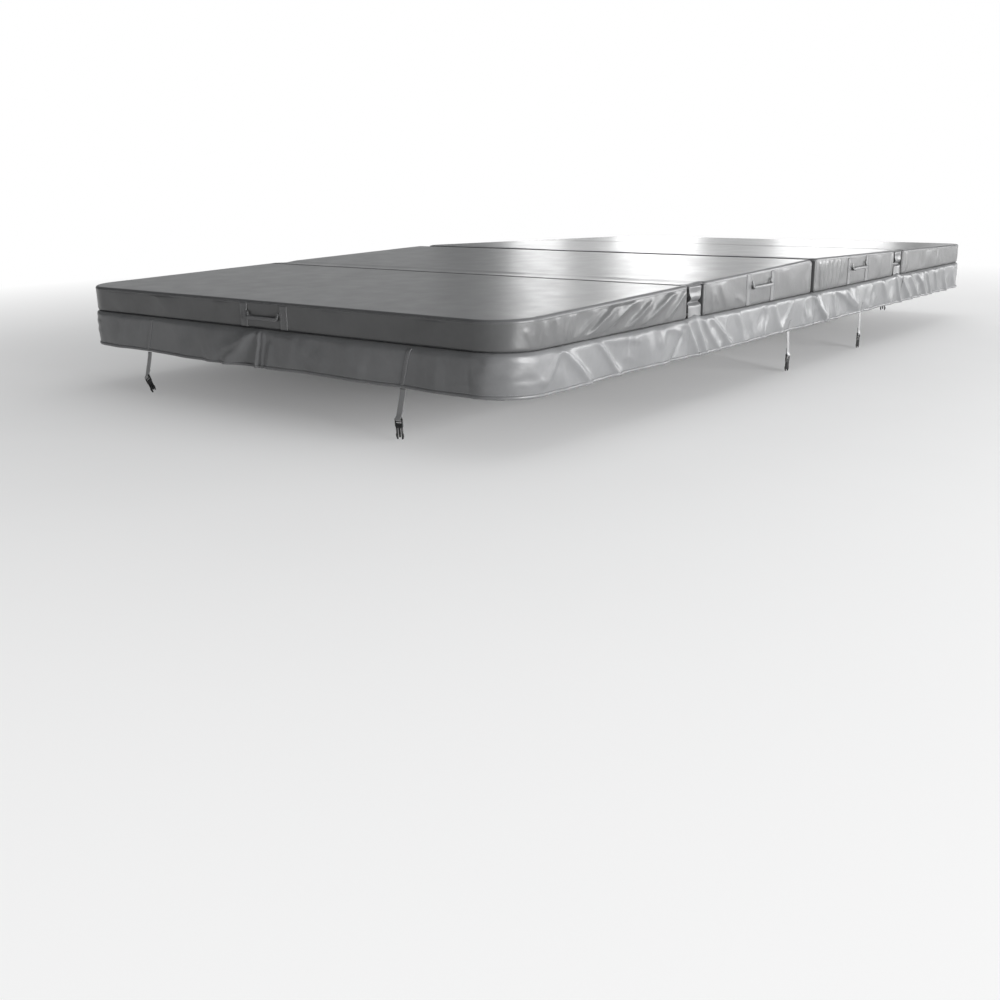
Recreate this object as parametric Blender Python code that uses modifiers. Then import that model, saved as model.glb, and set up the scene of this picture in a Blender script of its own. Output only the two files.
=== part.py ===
"""Swim spa cover: two bi-fold covers that meet in the middle of the spa.

Frame, in metres: X runs across the spa, Y along it and +Z up. z = 0 is the underside, which
rests on the spa's rim, and the origin is the middle of the whole cover. Cover A lies at -Y.
Cover B is the same cover turned half round, so every sub-part is described once, in cover A's
place, and "left" and "right" are as seen from a cover's own end.
"""
import math

import bmesh
import bpy

# The whole cover
WIDTH = 2.300
LENGTH = 4.300
END_THICKNESS = 0.100
MIDDLE_THICKNESS = 0.150
CORNER_RADIUS = 0.150
CORNER_STEPS = 6
EDGE_RADIUS = 0.010
EDGE_STEPS = 2

# Where each cover folds, and where the two covers meet
FOLD_Y = -1.050
FOLD_GAP = 0.125
FOLD_RISE = 0.002
MEETING_GAP = 0.036

# Sheet goods and the clearance between touching pieces
CLEARANCE = 0.0003
VINYL = 0.0015
LINER = 0.0012
STEEL = 0.0010
SKIRT_THICKNESS = 0.0014
SKIRT_DROP = 0.140

# Steel channel round each foam core's fold edge
CHANNEL_LENGTH = 2.200
CHANNEL_FLANGE = 0.025
CUT_MARGIN = 0.002

# What closes the gap at the fold
SEAL_HALF_LENGTH = 1.120
SEAL_BOTTOM = 0.045
SEAL_CLEARANCE = 0.0075
SEAL_ROUNDING = 0.008
TAB_MARGIN = 0.006

# Grab handles
HANDLE_HALF_LENGTH = 0.090
HANDLE_OUT = 0.0055
HANDLE_BELOW_TOP = 0.040
HANDLE_BOW = 0.013
HANDLE_DROOP = 0.021
HANDLE_RADIUS = 0.0075
HANDLE_END_RADIUS = 0.0035
HANDLE_STEPS = 8
END_HANDLE_X = 0.025
SIDE_HANDLE_Y = -0.515

# Tie-down straps and their clips
STRAP_WIDTH = 0.025
STRAP_THICKNESS = 0.0025
STRAP_LENGTH = 0.105
STRAP_DROP = 0.0020
STRAP_TOP = 0.0015
EYE_RADIUS = 0.0034
EYE_WALL = 0.0020
EYE_STEPS = 12
END_STRAP_LEFT_X = -0.700
END_STRAP_RIGHT_X = 0.700
RIGHT_STRAP_Y = -0.230
LEFT_STRAP_Y = -0.580
CLIP_THICKNESS = 0.0050

# Zips along the fold edges
ZIP_HALF_LENGTH = 1.070
ZIP_WIDTH = 0.024
ZIP_HEIGHT = 0.026
ZIP_THICKNESS = 0.0010
SLIDER_START_X = 1.030
SLIDER_THICKNESS = 0.0030

# Panels of one cover: the ends of each along Y
OUTER_SPAN = (-LENGTH / 2, FOLD_Y - FOLD_GAP / 2)
INNER_SPAN = (FOLD_Y + FOLD_GAP / 2, -MEETING_GAP / 2)
HALF_WIDTH = WIDTH / 2

# How far each wall's outward direction is turned from the end wall's
WALL_TURN = {"end": 0.0, "right": math.pi / 2, "left": -math.pi / 2}


def top_height(y):
    """Height of the crowned top: it falls in a straight slope from the middle to each end."""
    share = 1 - abs(y) / (LENGTH / 2)
    return END_THICKNESS + (MIDDLE_THICKNESS - END_THICKNESS) * share


FOLD_Z = top_height(FOLD_Y) + FOLD_RISE


# ---------------------------------------------------------------- scene helpers


def empty_scene():
    for obj in list(bpy.data.objects):
        bpy.data.objects.remove(obj, do_unlink=True)


def new_collection(name):
    collection = bpy.data.collections.new(name)
    bpy.context.scene.collection.children.link(collection)
    return collection


def make_material(name, colour, roughness, metallic=0.0):
    material = bpy.data.materials.new(name)
    material.use_nodes = True
    shader = material.node_tree.nodes["Principled BSDF"]
    shader.inputs["Base Color"].default_value = (*colour, 1.0)
    shader.inputs["Roughness"].default_value = roughness
    shader.inputs["Metallic"].default_value = metallic
    return material


def add_object(name, data, collection, parent, place=(0, 0, 0), turn=(0, 0, 0), material=None):
    obj = bpy.data.objects.new(name, data)
    collection.objects.link(obj)
    obj.parent = parent
    obj.location = place
    obj.rotation_euler = turn
    if material:
        data.materials.append(material)
    return obj


def add_pivot(name, collection, parent, place=(0, 0, 0), turn_z=0.0):
    pivot = add_object(name, None, collection, parent, place, (0, 0, turn_z))
    pivot.empty_display_size = 0.1
    return pivot


def mesh_from(bm, name):
    mesh = bpy.data.meshes.new(name)
    bm.to_mesh(mesh)
    bm.free()
    return mesh


def thicken(obj, thickness, offset):
    modifier = obj.modifiers.new("thickness", "SOLIDIFY")
    modifier.thickness = thickness
    modifier.offset = offset
    modifier.use_even_offset = True


def flat_curve(name, outlines, depth):
    """A plate from closed outlines in the curve's own XY plane; the second one is a hole."""
    curve = bpy.data.curves.new(name, "CURVE")
    curve.dimensions = "2D"
    curve.fill_mode = "BOTH"
    curve.extrude = depth / 2
    for outline in outlines:
        spline = curve.splines.new("POLY")
        spline.points.add(len(outline) - 1)
        spline.use_cyclic_u = True
        for point, (x, y) in zip(spline.points, outline):
            point.co = (x, y, 0, 1)
    return curve


def arc(centre, radius, start, end, steps):
    cx, cy = centre
    angles = [start + (end - start) * i / steps for i in range(steps + 1)]
    return [(cx + radius * math.cos(a), cy + radius * math.sin(a)) for a in angles]


def box_mesh(name, low, high, rounding=0.0):
    bm = bmesh.new()
    bmesh.ops.create_cube(bm, size=1.0)
    for vert in bm.verts:
        for axis in range(3):
            share = vert.co[axis] + 0.5
            vert.co[axis] = low[axis] + share * (high[axis] - low[axis])
    if rounding:
        bmesh.ops.bevel(bm, geom=bm.edges[:], offset=rounding, segments=2, profile=0.5, affect="EDGES")
    return mesh_from(bm, name)


# ---------------------------------------------------------------- panels


def panel_mesh(name, span, inset, bottom, lid_drop, rounded_end, open_below=False):
    """A panel's block, inset from the jacket's outside, with the sloping top."""
    low_y, high_y = span[0] + inset, span[1] - inset
    bm = bmesh.new()
    bmesh.ops.create_cube(bm, size=1.0)
    for vert in bm.verts:
        vert.co.x *= 2 * (HALF_WIDTH - inset)
        vert.co.y = low_y if vert.co.y < 0 else high_y
    if rounded_end:
        corners = [
            edge for edge in bm.edges
            if all(abs(v.co.y - low_y) < 1e-6 for v in edge.verts)
            and abs(edge.verts[0].co.z - edge.verts[1].co.z) > 0.5
        ]
        bmesh.ops.bevel(bm, geom=corners, offset=CORNER_RADIUS - inset, segments=CORNER_STEPS,
                        profile=0.5, affect="EDGES")
    for vert in bm.verts:
        vert.co.z = bottom if vert.co.z < 0 else top_height(vert.co.y) - lid_drop
    if lid_drop < MIDDLE_THICKNESS / 2:
        round_top_edges(bm, inset, low_y, high_y, rounded_end)
    if open_below:
        floor = [face for face in bm.faces if all(abs(v.co.z - bottom) < 1e-6 for v in face.verts)]
        bmesh.ops.delete(bm, geom=floor, context="FACES_ONLY")
    return mesh_from(bm, name)


def round_top_edges(bm, inset, low_y, high_y, rounded_end):
    """Rounds the top's outside edges. Those at the fold and at the meeting line stay square."""
    top = max(bm.faces, key=lambda face: face.calc_center_median().z)
    square_at = [high_y] if rounded_end else [low_y, high_y]
    edges = [
        edge for edge in top.edges
        if not any(all(abs(v.co.y - y) < 1e-6 for v in edge.verts) for y in square_at)
    ]
    bmesh.ops.bevel(bm, geom=edges, offset=EDGE_RADIUS - inset, segments=EDGE_STEPS,
                    profile=0.5, affect="EDGES")


def flat_panel_mesh(name, span, inset, thickness, rounded_end):
    mesh = panel_mesh(name, span, inset, 0.0, MIDDLE_THICKNESS, rounded_end)
    for vert in mesh.vertices:
        vert.co.z = 0.0 if abs(vert.co.z) < 1e-6 else thickness
    return mesh


def channel_mesh(name, span, rounded_end, depth, flange, half_length):
    """The C-section's middle surface, depth below the foam's own surface, round the fold edge."""
    inset = VINYL + CLEARANCE
    into = -1 if rounded_end else 1
    edge_y = span[1] - inset if rounded_end else span[0] + inset
    web_y = edge_y + into * depth
    tip_y = edge_y + into * flange
    low = LINER + CLEARANCE + depth
    lid = VINYL + CLEARANCE + depth
    section = [
        (tip_y, low),
        (web_y, low),
        (web_y, top_height(web_y) - lid),
        (tip_y, top_height(tip_y) - lid),
    ]
    bm = bmesh.new()
    near = [bm.verts.new((-half_length, y, z)) for y, z in section]
    edges = [bm.edges.new(pair) for pair in zip(near, near[1:])]
    swept = bmesh.ops.extrude_edge_only(bm, edges=edges)
    far = [item for item in swept["geom"] if isinstance(item, bmesh.types.BMVert)]
    bmesh.ops.translate(bm, verts=far, vec=(2 * half_length, 0, 0))
    bmesh.ops.recalc_face_normals(bm, faces=bm.faces[:])
    return mesh_from(bm, name)


class Cover:
    """One bi-fold cover. label is a or b, and turn_z is how far the whole cover is turned."""

    def __init__(self, label, turn_z, parts, cutters, materials):
        self.label = label
        self.parts = parts
        self.cutters = cutters
        self.materials = materials
        self.base = add_pivot(f"cover_{label}_place", parts, None, turn_z=turn_z)
        fold_place = (0, FOLD_Y, FOLD_Z)
        self.fold = add_pivot(f"fold_{label}_line", parts, self.base, fold_place)

    def parent_of(self, panel):
        """The pivot that carries a panel, and where the cover's own origin lies from it."""
        if panel == "outer":
            return self.fold, (0, -FOLD_Y, -FOLD_Z)
        return self.base, (0, 0, 0)

    def add(self, name, data, panel, material):
        """Adds a piece whose mesh is described in the cover's own frame."""
        parent, origin = self.parent_of(panel)
        return add_object(name, data, self.parts, parent, origin, material=self.materials[material])

    def add_at(self, name, data, panel, place, turn, material):
        """Adds a piece with its own origin at place."""
        parent, origin = self.parent_of(panel)
        spot = tuple(p + o for p, o in zip(place, origin))
        return add_object(name, data, self.parts, parent, spot, turn, self.materials[material])

    # -------- the four layers of a panel

    def add_panel(self, panel, span, rounded_end):
        self.add_jacket(panel, span, rounded_end)
        self.add_foam_core(panel, span, rounded_end)
        self.add_liner(panel, span, rounded_end)
        self.add_steel_channel(panel, span, rounded_end)
        self.add_zip(panel, span, rounded_end)

    def add_jacket(self, panel, span, rounded_end):
        name = f"jacket_{self.label}_{panel}"
        mesh = panel_mesh(name, span, 0.0, 0.0, 0.0, rounded_end, open_below=True)
        jacket = self.add(name, mesh, panel, "jacket_vinyl")
        thicken(jacket, VINYL, -1.0)

    def add_foam_core(self, panel, span, rounded_end):
        name = f"foam_core_{self.label}_{panel}"
        inset = VINYL + CLEARANCE
        mesh = panel_mesh(name, span, inset, LINER + CLEARANCE, inset, rounded_end)
        core = self.add(name, mesh, panel, "foam")
        cut = core.modifiers.new("channel_room", "BOOLEAN")
        cut.operation = "DIFFERENCE"
        cut.object = self.add_channel_room(panel, span, rounded_end)

    def add_channel_room(self, panel, span, rounded_end):
        """The cutter that leaves room in the foam for the channel, open to the foam's outside."""
        wall = STEEL + CLEARANCE + CUT_MARGIN
        depth = STEEL + CLEARANCE - wall / 2
        name = f"channel_room_{self.label}_{panel}"
        flange = CHANNEL_FLANGE + CLEARANCE
        mesh = channel_mesh(name, span, rounded_end, depth, flange, CHANNEL_LENGTH / 2 + CLEARANCE)
        parent, origin = self.parent_of(panel)
        room = add_object(name, mesh, self.cutters, parent, origin)
        thicken(room, wall, 0.0)
        room.hide_render = True
        room.display_type = "WIRE"
        return room

    def add_steel_channel(self, panel, span, rounded_end):
        name = f"steel_channel_{self.label}_{panel}"
        mesh = channel_mesh(name, span, rounded_end, STEEL / 2, CHANNEL_FLANGE, CHANNEL_LENGTH / 2)
        channel = self.add(name, mesh, panel, "galvanised_steel")
        thicken(channel, STEEL, 0.0)

    def add_liner(self, panel, span, rounded_end):
        name = f"liner_{self.label}_{panel}"
        mesh = flat_panel_mesh(name, span, VINYL + CLEARANCE, LINER, rounded_end)
        self.add(name, mesh, panel, "liner_vinyl")

    def add_zip(self, panel, span, rounded_end):
        """A zip along the panel's fold wall, with its slider parked at the right end."""
        out = 1 if rounded_end else -1
        wall_y = span[1] if rounded_end else span[0]
        near = wall_y + out * CLEARANCE
        far = near + out * ZIP_THICKNESS
        low = (-ZIP_HALF_LENGTH, min(near, far), ZIP_HEIGHT - ZIP_WIDTH / 2)
        high = (ZIP_HALF_LENGTH, max(near, far), ZIP_HEIGHT + ZIP_WIDTH / 2)
        tape_name = f"zip_tape_{self.label}_{panel}"
        self.add(tape_name, box_mesh(tape_name, low, high), panel, "zip_tape")
        slider_name = f"zip_slider_{self.label}_{panel}"
        slider = flat_curve(slider_name, [slider_outline()], SLIDER_THICKNESS)
        place = (SLIDER_START_X, far + out * (CLEARANCE + SLIDER_THICKNESS / 2), ZIP_HEIGHT)
        turn = (math.pi / 2, 0, math.pi if rounded_end else 0)
        self.add_at(slider_name, slider, panel, place, turn, "zip_slider")

    # -------- what closes the fold

    def add_hinge_strip(self):
        """The band of vinyl that joins the two panels along the fold."""
        name = f"hinge_strip_{self.label}"
        low_y = OUTER_SPAN[1] + CLEARANCE
        high_y = INNER_SPAN[0] - CLEARANCE
        half = HALF_WIDTH - VINYL
        mesh = box_mesh(name, (-half, low_y, 0), (half, high_y, 1))
        for vert in mesh.vertices:
            lid = top_height(vert.co.y) - CLEARANCE
            vert.co.z = lid if vert.co.z > 0.5 else lid - VINYL
        self.add(name, mesh, "inner", "hinge_vinyl")

    def add_hinge_seal(self):
        """The foam pillow that stops steam under the hinge strip."""
        name = f"hinge_seal_{self.label}"
        low = (-SEAL_HALF_LENGTH, OUTER_SPAN[1] + SEAL_CLEARANCE, SEAL_BOTTOM)
        lid = top_height(OUTER_SPAN[1]) - CLEARANCE - VINYL - CLEARANCE
        high = (SEAL_HALF_LENGTH, INNER_SPAN[0] - CLEARANCE, lid)
        self.add(name, box_mesh(name, low, high, SEAL_ROUNDING), "inner", "seal_vinyl")

    def add_hinge_tab(self, side):
        """The flap of vinyl that hangs over one end of the gap at the fold."""
        name = f"hinge_tab_{self.label}_{side}"
        out = 1 if side == "right" else -1
        edges = sorted([out * (HALF_WIDTH - VINYL), out * (HALF_WIDTH - 2 * VINYL)])
        low_y = OUTER_SPAN[1] + TAB_MARGIN
        high_y = INNER_SPAN[0] - TAB_MARGIN
        lid = top_height(low_y) - VINYL - 2 * CLEARANCE
        low = (edges[0], low_y, CLEARANCE)
        high = (edges[1], high_y, lid)
        self.add(name, box_mesh(name, low, high), "inner", "hinge_vinyl")

    # -------- skirts

    def add_skirt(self, name, path, panel):
        bm = bmesh.new()
        rims = [[bm.verts.new((x, y, z)) for x, y in path] for z in (-CLEARANCE, -SKIRT_DROP)]
        top, hem = rims
        for i in range(len(path) - 1):
            bm.faces.new((top[i], hem[i], hem[i + 1], top[i + 1]))
        skirt = self.add(name, mesh_from(bm, name), panel, "skirt_vinyl")
        thicken(skirt, SKIRT_THICKNESS, 0.0)

    def add_skirts(self):
        """One skirt goes round the outer panel. The inner panel has a piece on each side, which
        reaches on across the gap at the fold."""
        line_x = HALF_WIDTH - SKIRT_THICKNESS / 2
        fold_y = OUTER_SPAN[1]
        radius = CORNER_RADIUS - SKIRT_THICKNESS / 2
        centre_x, centre_y = HALF_WIDTH - CORNER_RADIUS, -LENGTH / 2 + CORNER_RADIUS
        left = arc((-centre_x, centre_y), radius, math.pi, 1.5 * math.pi, CORNER_STEPS)
        right = arc((centre_x, centre_y), radius, 1.5 * math.pi, 2 * math.pi, CORNER_STEPS)
        around = [(-line_x, fold_y), *left, *right, (line_x, fold_y)]
        self.add_skirt(f"skirt_{self.label}_outer", around, "outer")
        inner_start = fold_y + 3 * CLEARANCE
        for side, x in (("left", -line_x), ("right", line_x)):
            along = [(x, inner_start), (x, INNER_SPAN[1])]
            self.add_skirt(f"skirt_{self.label}_{side}", along, "inner")

    # -------- handles, straps and clips

    def wall_place(self, wall, along, out, height):
        """A point out from a wall: along is X on the end wall, and Y on a side wall."""
        if wall == "end":
            return (along, -LENGTH / 2 - out, height)
        side = 1 if wall == "right" else -1
        return (side * (HALF_WIDTH + out), along, height)

    def add_handle(self, wall, panel, along):
        name = f"handle_{self.label}_{wall}"
        wall_y = -LENGTH / 2 if wall == "end" else along
        height = top_height(wall_y) - HANDLE_BELOW_TOP
        place = self.wall_place(wall, along, HANDLE_OUT, height)
        self.add_at(name, handle_curve(name), panel, place, (0, 0, WALL_TURN[wall]), "handle_vinyl")

    def add_strap(self, spot, wall, panel, along):
        """A strap that hangs from the skirt's hem, and the clip that swings in its eye."""
        out = -SKIRT_THICKNESS / 2
        place = self.wall_place(wall, along, out, -SKIRT_DROP - STRAP_DROP)
        name = f"tie_strap_{self.label}_{spot}"
        turn = (math.pi / 2, 0, math.pi / 2 + WALL_TURN[wall])
        curve = flat_curve(name, strap_outlines(), STRAP_WIDTH)
        self.add_at(name, curve, panel, place, turn, "strap_vinyl")
        clip_name = f"strap_clip_{self.label}_{spot}"
        clip = flat_curve(clip_name, clip_outlines(), CLIP_THICKNESS)
        clip_place = (place[0], place[1], place[2] - STRAP_LENGTH)
        self.add_at(clip_name, clip, panel, clip_place, (math.pi / 2, 0, WALL_TURN[wall]), "clip_plastic")

    def build(self):
        self.add_panel("outer", OUTER_SPAN, rounded_end=True)
        self.add_panel("inner", INNER_SPAN, rounded_end=False)
        self.add_hinge_strip()
        self.add_hinge_seal()
        self.add_hinge_tab("left")
        self.add_hinge_tab("right")
        self.add_skirts()
        self.add_handle("end", "outer", END_HANDLE_X)
        self.add_handle("left", "inner", SIDE_HANDLE_Y)
        self.add_handle("right", "inner", SIDE_HANDLE_Y)
        self.add_strap("end_left", "end", "outer", END_STRAP_LEFT_X)
        self.add_strap("end_right", "end", "outer", END_STRAP_RIGHT_X)
        self.add_strap("left", "left", "inner", LEFT_STRAP_Y)
        self.add_strap("right", "right", "inner", RIGHT_STRAP_Y)


# ---------------------------------------------------------------- small pieces


def handle_curve(name):
    """A rolled vinyl grip that bows out and droops between its two sewn ends."""
    curve = bpy.data.curves.new(name, "CURVE")
    curve.dimensions = "3D"
    curve.bevel_depth = HANDLE_RADIUS
    curve.bevel_resolution = 2
    curve.use_fill_caps = True
    spline = curve.splines.new("POLY")
    spline.points.add(HANDLE_STEPS)
    for i, point in enumerate(spline.points):
        share = 2 * i / HANDLE_STEPS - 1
        swell = 1 - abs(share) ** 2.5
        x = HANDLE_HALF_LENGTH * share
        point.co = (x, -HANDLE_BOW * swell, -HANDLE_DROOP * swell, 1)
        radius = HANDLE_END_RADIUS + (HANDLE_RADIUS - HANDLE_END_RADIUS) * min(1, 1.4 * swell)
        point.radius = radius / HANDLE_RADIUS
    return curve


def strap_outlines():
    """The strap edge on: a flat band with an eye at its foot, and the hole in the eye."""
    half = STRAP_THICKNESS / 2
    centre = (0, -STRAP_LENGTH)
    outer = EYE_RADIUS + EYE_WALL
    meet = math.asin(half / outer)
    start = math.pi / 2 + meet
    end = math.pi / 2 - meet + 2 * math.pi
    around = arc(centre, outer, start, end, EYE_STEPS)
    outline = [(half, -STRAP_TOP), (-half, -STRAP_TOP), *around]
    hole = arc(centre, EYE_RADIUS, 0, 2 * math.pi, EYE_STEPS)[:-1]
    return [outline, hole]


def clip_outlines():
    """The male half of a side-release buckle, face on, with its bar at the origin."""
    right_half = [
        (0.0160, 0.0015),
        (0.0170, 0.0000),
        (0.0170, -0.0240),
        (0.0140, -0.0300),
        (0.0140, -0.0480),
        (0.0165, -0.0510),
        (0.0165, -0.0570),
        (0.0125, -0.0680),
        (0.0095, -0.0680),
        (0.0095, -0.0300),
        (0.0035, -0.0300),
        (0.0035, -0.0560),
        (0.0015, -0.0610),
    ]
    left_half = [(-x, y) for x, y in reversed(right_half)]
    slot_x, slot_top, slot_foot = 0.0135, -0.0015, -0.0064
    slot = [(-slot_x, slot_top), (slot_x, slot_top), (slot_x, slot_foot), (-slot_x, slot_foot)]
    return [right_half + left_half, slot]


def slider_outline():
    """A zip slider with its pull hanging down, face on."""
    right_half = [
        (0.0035, 0.0060),
        (0.0050, 0.0020),
        (0.0045, -0.0060),
        (0.0022, -0.0070),
        (0.0030, -0.0170),
        (0.0018, -0.0190),
    ]
    return right_half + [(-x, y) for x, y in reversed(right_half)]


def make_materials():
    return {
        "jacket_vinyl": make_material("jacket_vinyl", (0.17, 0.17, 0.175), 0.34),
        "skirt_vinyl": make_material("skirt_vinyl", (0.20, 0.20, 0.205), 0.32),
        "hinge_vinyl": make_material("hinge_vinyl", (0.17, 0.17, 0.175), 0.36),
        "handle_vinyl": make_material("handle_vinyl", (0.17, 0.17, 0.175), 0.40),
        "strap_vinyl": make_material("strap_vinyl", (0.22, 0.22, 0.225), 0.45),
        "liner_vinyl": make_material("liner_vinyl", (0.10, 0.10, 0.105), 0.60),
        "seal_vinyl": make_material("seal_vinyl", (0.10, 0.10, 0.105), 0.60),
        "foam": make_material("foam", (0.85, 0.85, 0.83), 0.85),
        "galvanised_steel": make_material("galvanised_steel", (0.60, 0.61, 0.62), 0.35, 1.0),
        "clip_plastic": make_material("clip_plastic", (0.012, 0.012, 0.012), 0.40),
        "zip_tape": make_material("zip_tape", (0.03, 0.03, 0.03), 0.80),
        "zip_slider": make_material("zip_slider", (0.05, 0.05, 0.05), 0.40),
    }


def main():
    empty_scene()
    parts = new_collection("spa_cover")
    cutters = new_collection("cutters")
    materials = make_materials()
    Cover("a", 0.0, parts, cutters, materials).build()
    Cover("b", math.pi, parts, cutters, materials).build()


main()
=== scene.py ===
"""The looks of a swim spa cover: two bi-fold vinyl covers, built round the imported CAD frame.

Everything is in metres in the CAD frame. Cover A is described in its own place, and cover B is the
same cover turned half round, but each wall has its own wrinkles.
"""

import math

import bpy
import numpy as np
from mathutils import Matrix, Vector


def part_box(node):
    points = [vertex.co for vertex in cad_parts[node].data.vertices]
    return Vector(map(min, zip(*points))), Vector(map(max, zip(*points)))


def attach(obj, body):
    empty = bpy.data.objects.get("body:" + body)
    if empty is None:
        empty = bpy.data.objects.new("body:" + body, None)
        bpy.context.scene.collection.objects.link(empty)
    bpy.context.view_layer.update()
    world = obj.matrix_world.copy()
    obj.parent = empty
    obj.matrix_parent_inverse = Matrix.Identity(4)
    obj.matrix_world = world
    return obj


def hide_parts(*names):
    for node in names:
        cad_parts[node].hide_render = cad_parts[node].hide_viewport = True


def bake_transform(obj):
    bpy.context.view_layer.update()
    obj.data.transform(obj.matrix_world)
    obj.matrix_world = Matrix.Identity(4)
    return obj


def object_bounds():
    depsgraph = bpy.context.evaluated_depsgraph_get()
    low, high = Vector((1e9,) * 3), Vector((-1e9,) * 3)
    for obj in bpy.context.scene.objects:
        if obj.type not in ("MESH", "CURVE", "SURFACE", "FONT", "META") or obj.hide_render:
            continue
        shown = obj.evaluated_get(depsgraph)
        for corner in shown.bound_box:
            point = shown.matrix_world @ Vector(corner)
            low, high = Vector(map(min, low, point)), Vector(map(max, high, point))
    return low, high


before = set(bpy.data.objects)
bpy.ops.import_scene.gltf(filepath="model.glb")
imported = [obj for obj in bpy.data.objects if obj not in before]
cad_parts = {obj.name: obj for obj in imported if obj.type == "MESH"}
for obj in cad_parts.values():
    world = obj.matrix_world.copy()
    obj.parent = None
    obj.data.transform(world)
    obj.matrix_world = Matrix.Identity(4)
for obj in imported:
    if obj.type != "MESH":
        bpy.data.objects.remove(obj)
CAD_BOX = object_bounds()

# ---------------------------------------------------------------- measures from the frame

OUTER_LOW, OUTER_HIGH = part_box("jacket_a_outer")
INNER_LOW, INNER_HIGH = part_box("jacket_a_inner")
HALF_W = OUTER_HIGH.x
END_Y, FOLD_NEAR = OUTER_LOW.y, OUTER_HIGH.y
FOLD_FAR, MEET_Y = INNER_LOW.y, INNER_HIGH.y
HEM_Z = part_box("skirt_a_outer")[0].z
CROWN = (INNER_HIGH.z - OUTER_HIGH.z) / (MEET_Y - FOLD_NEAR)

CORNER_R = 0.150       # the two outside corners, seen from above
SQUARE_R = 0.008       # the corners at the folds
EDGE_R = 0.009         # the rounding of the top edge
LIP = 0.013            # how far the top sheet comes down the wall to its seam
MEETING_SAG = {"a": 0.0120, "b": 0.0030}   # the softened edges at the slit between the two covers
WALL_FOOT = 0.0120     # below this a wall's foot is rounded and tucked under
STITCH, STITCH_STEP = 0.0050, 0.0072         # a stitch's length, and from one to the next
STITCH_WIDTH, STITCH_RISE = 0.0011, 0.0005
UP = np.array([0, 0, 1.0])


def top_z(y):
    """Height of the crowned top, in cover A's own place."""
    return OUTER_HIGH.z + CROWN * (y - FOLD_NEAR)


def top_ripple(x, y):
    """The low waves of the whole top, which the hinge strip follows too."""
    return waves(11, x, y, (1.3, 0.7, 0.41, 0.26), 0.0004)


def edge_sag(label, y):
    """How far the top gives way beside the slit between the covers."""
    return MEETING_SAG[label] * np.exp(-np.maximum(MEET_Y - 0.004 - y, 0) / 0.014)


SPANS = {"outer": (END_Y, FOLD_NEAR), "inner": (FOLD_FAR, MEET_Y)}
SIGN = {"a": 1.0, "b": -1.0}

# ---------------------------------------------------------------- wrinkles
# Each crease is (along, z) at its head, (along, z) at its foot, half width, height.
# Along is y on the right wall and x on the end wall. The four tables below weren't written by hand:
# a separate program turned places that were picked by eye into these metres, and some rows were
# changed afterwards. The small creases further down are made by a rule.

SKIRT_RIGHT = [
    (-1.911, -0.010, -1.994, -0.098, 0.010, 0.007),
    (-1.897, -0.012, -1.758, -0.129, 0.011, 0.009),
    (-1.903, -0.027, -1.881, -0.152, 0.050, 0.006),
    (-1.715, -0.007, -1.574, -0.131, 0.011, 0.008),
    (-1.652, -0.012, -1.460, -0.035, 0.010, 0.003),
    (-1.526, -0.027, -1.530, -0.084, 0.009, 0.003),
    (-1.482, -0.029, -1.501, -0.089, 0.009, 0.003),
    (-1.411, -0.017, -1.381, -0.110, 0.030, 0.008),
    (-1.318, -0.013, -1.300, -0.141, 0.028, 0.009),
    (-1.277, -0.012, -1.154, -0.040, 0.010, 0.004),
    (-1.147, -0.045, -1.224, -0.141, 0.010, -0.008),
    (-1.121, -0.008, -1.038, -0.140, 0.009, 0.01),
    (-1.061, -0.012, -0.976, -0.140, 0.009, 0.009),
    (-1.000, -0.011, -0.879, -0.135, 0.010, 0.01),
    (-0.938, -0.010, -0.784, -0.120, 0.013, 0.009),
    (-0.726, -0.010, -0.653, -0.142, 0.026, 0.008),
    (-0.569, -0.016, -0.579, -0.130, 0.040, 0.004),
    (-0.459, -0.019, -0.486, -0.119, 0.018, 0.005),
    (-0.385, -0.019, -0.314, -0.129, 0.017, 0.006),
    (-0.218, -0.027, -0.305, -0.114, 0.013, 0.006),
    (-0.120, -0.014, -0.100, -0.139, 0.040, 0.005),
    (-0.015, -0.003, 0.150, -0.144, 0.013, 0.011),
    (0.061, -0.005, 0.120, -0.103, 0.010, 0.006),
    (0.223, -0.029, 0.265, -0.139, 0.018, 0.006),
    (0.266, -0.016, 0.555, -0.137, 0.016, 0.01),
    (0.361, -0.021, 0.496, -0.096, 0.012, 0.006),
    (0.690, -0.033, 0.654, -0.118, 0.016, 0.006),
    (0.849, -0.027, 0.956, -0.133, 0.018, 0.007),
    (1.029, -0.014, 1.101, -0.138, 0.011, 0.01),
    (1.102, -0.016, 1.255, -0.144, 0.011, 0.01),
    (1.221, -0.014, 1.380, -0.144, 0.013, 0.009),
    (1.344, -0.014, 1.491, -0.144, 0.014, 0.009),
    (1.486, -0.014, 1.572, -0.142, 0.014, 0.009),
    (1.619, -0.016, 1.709, -0.143, 0.014, 0.009),
    (1.775, -0.018, 1.829, -0.141, 0.016, 0.009),
    (1.953, -0.018, 1.982, -0.141, 0.020, 0.006),
]
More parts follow.
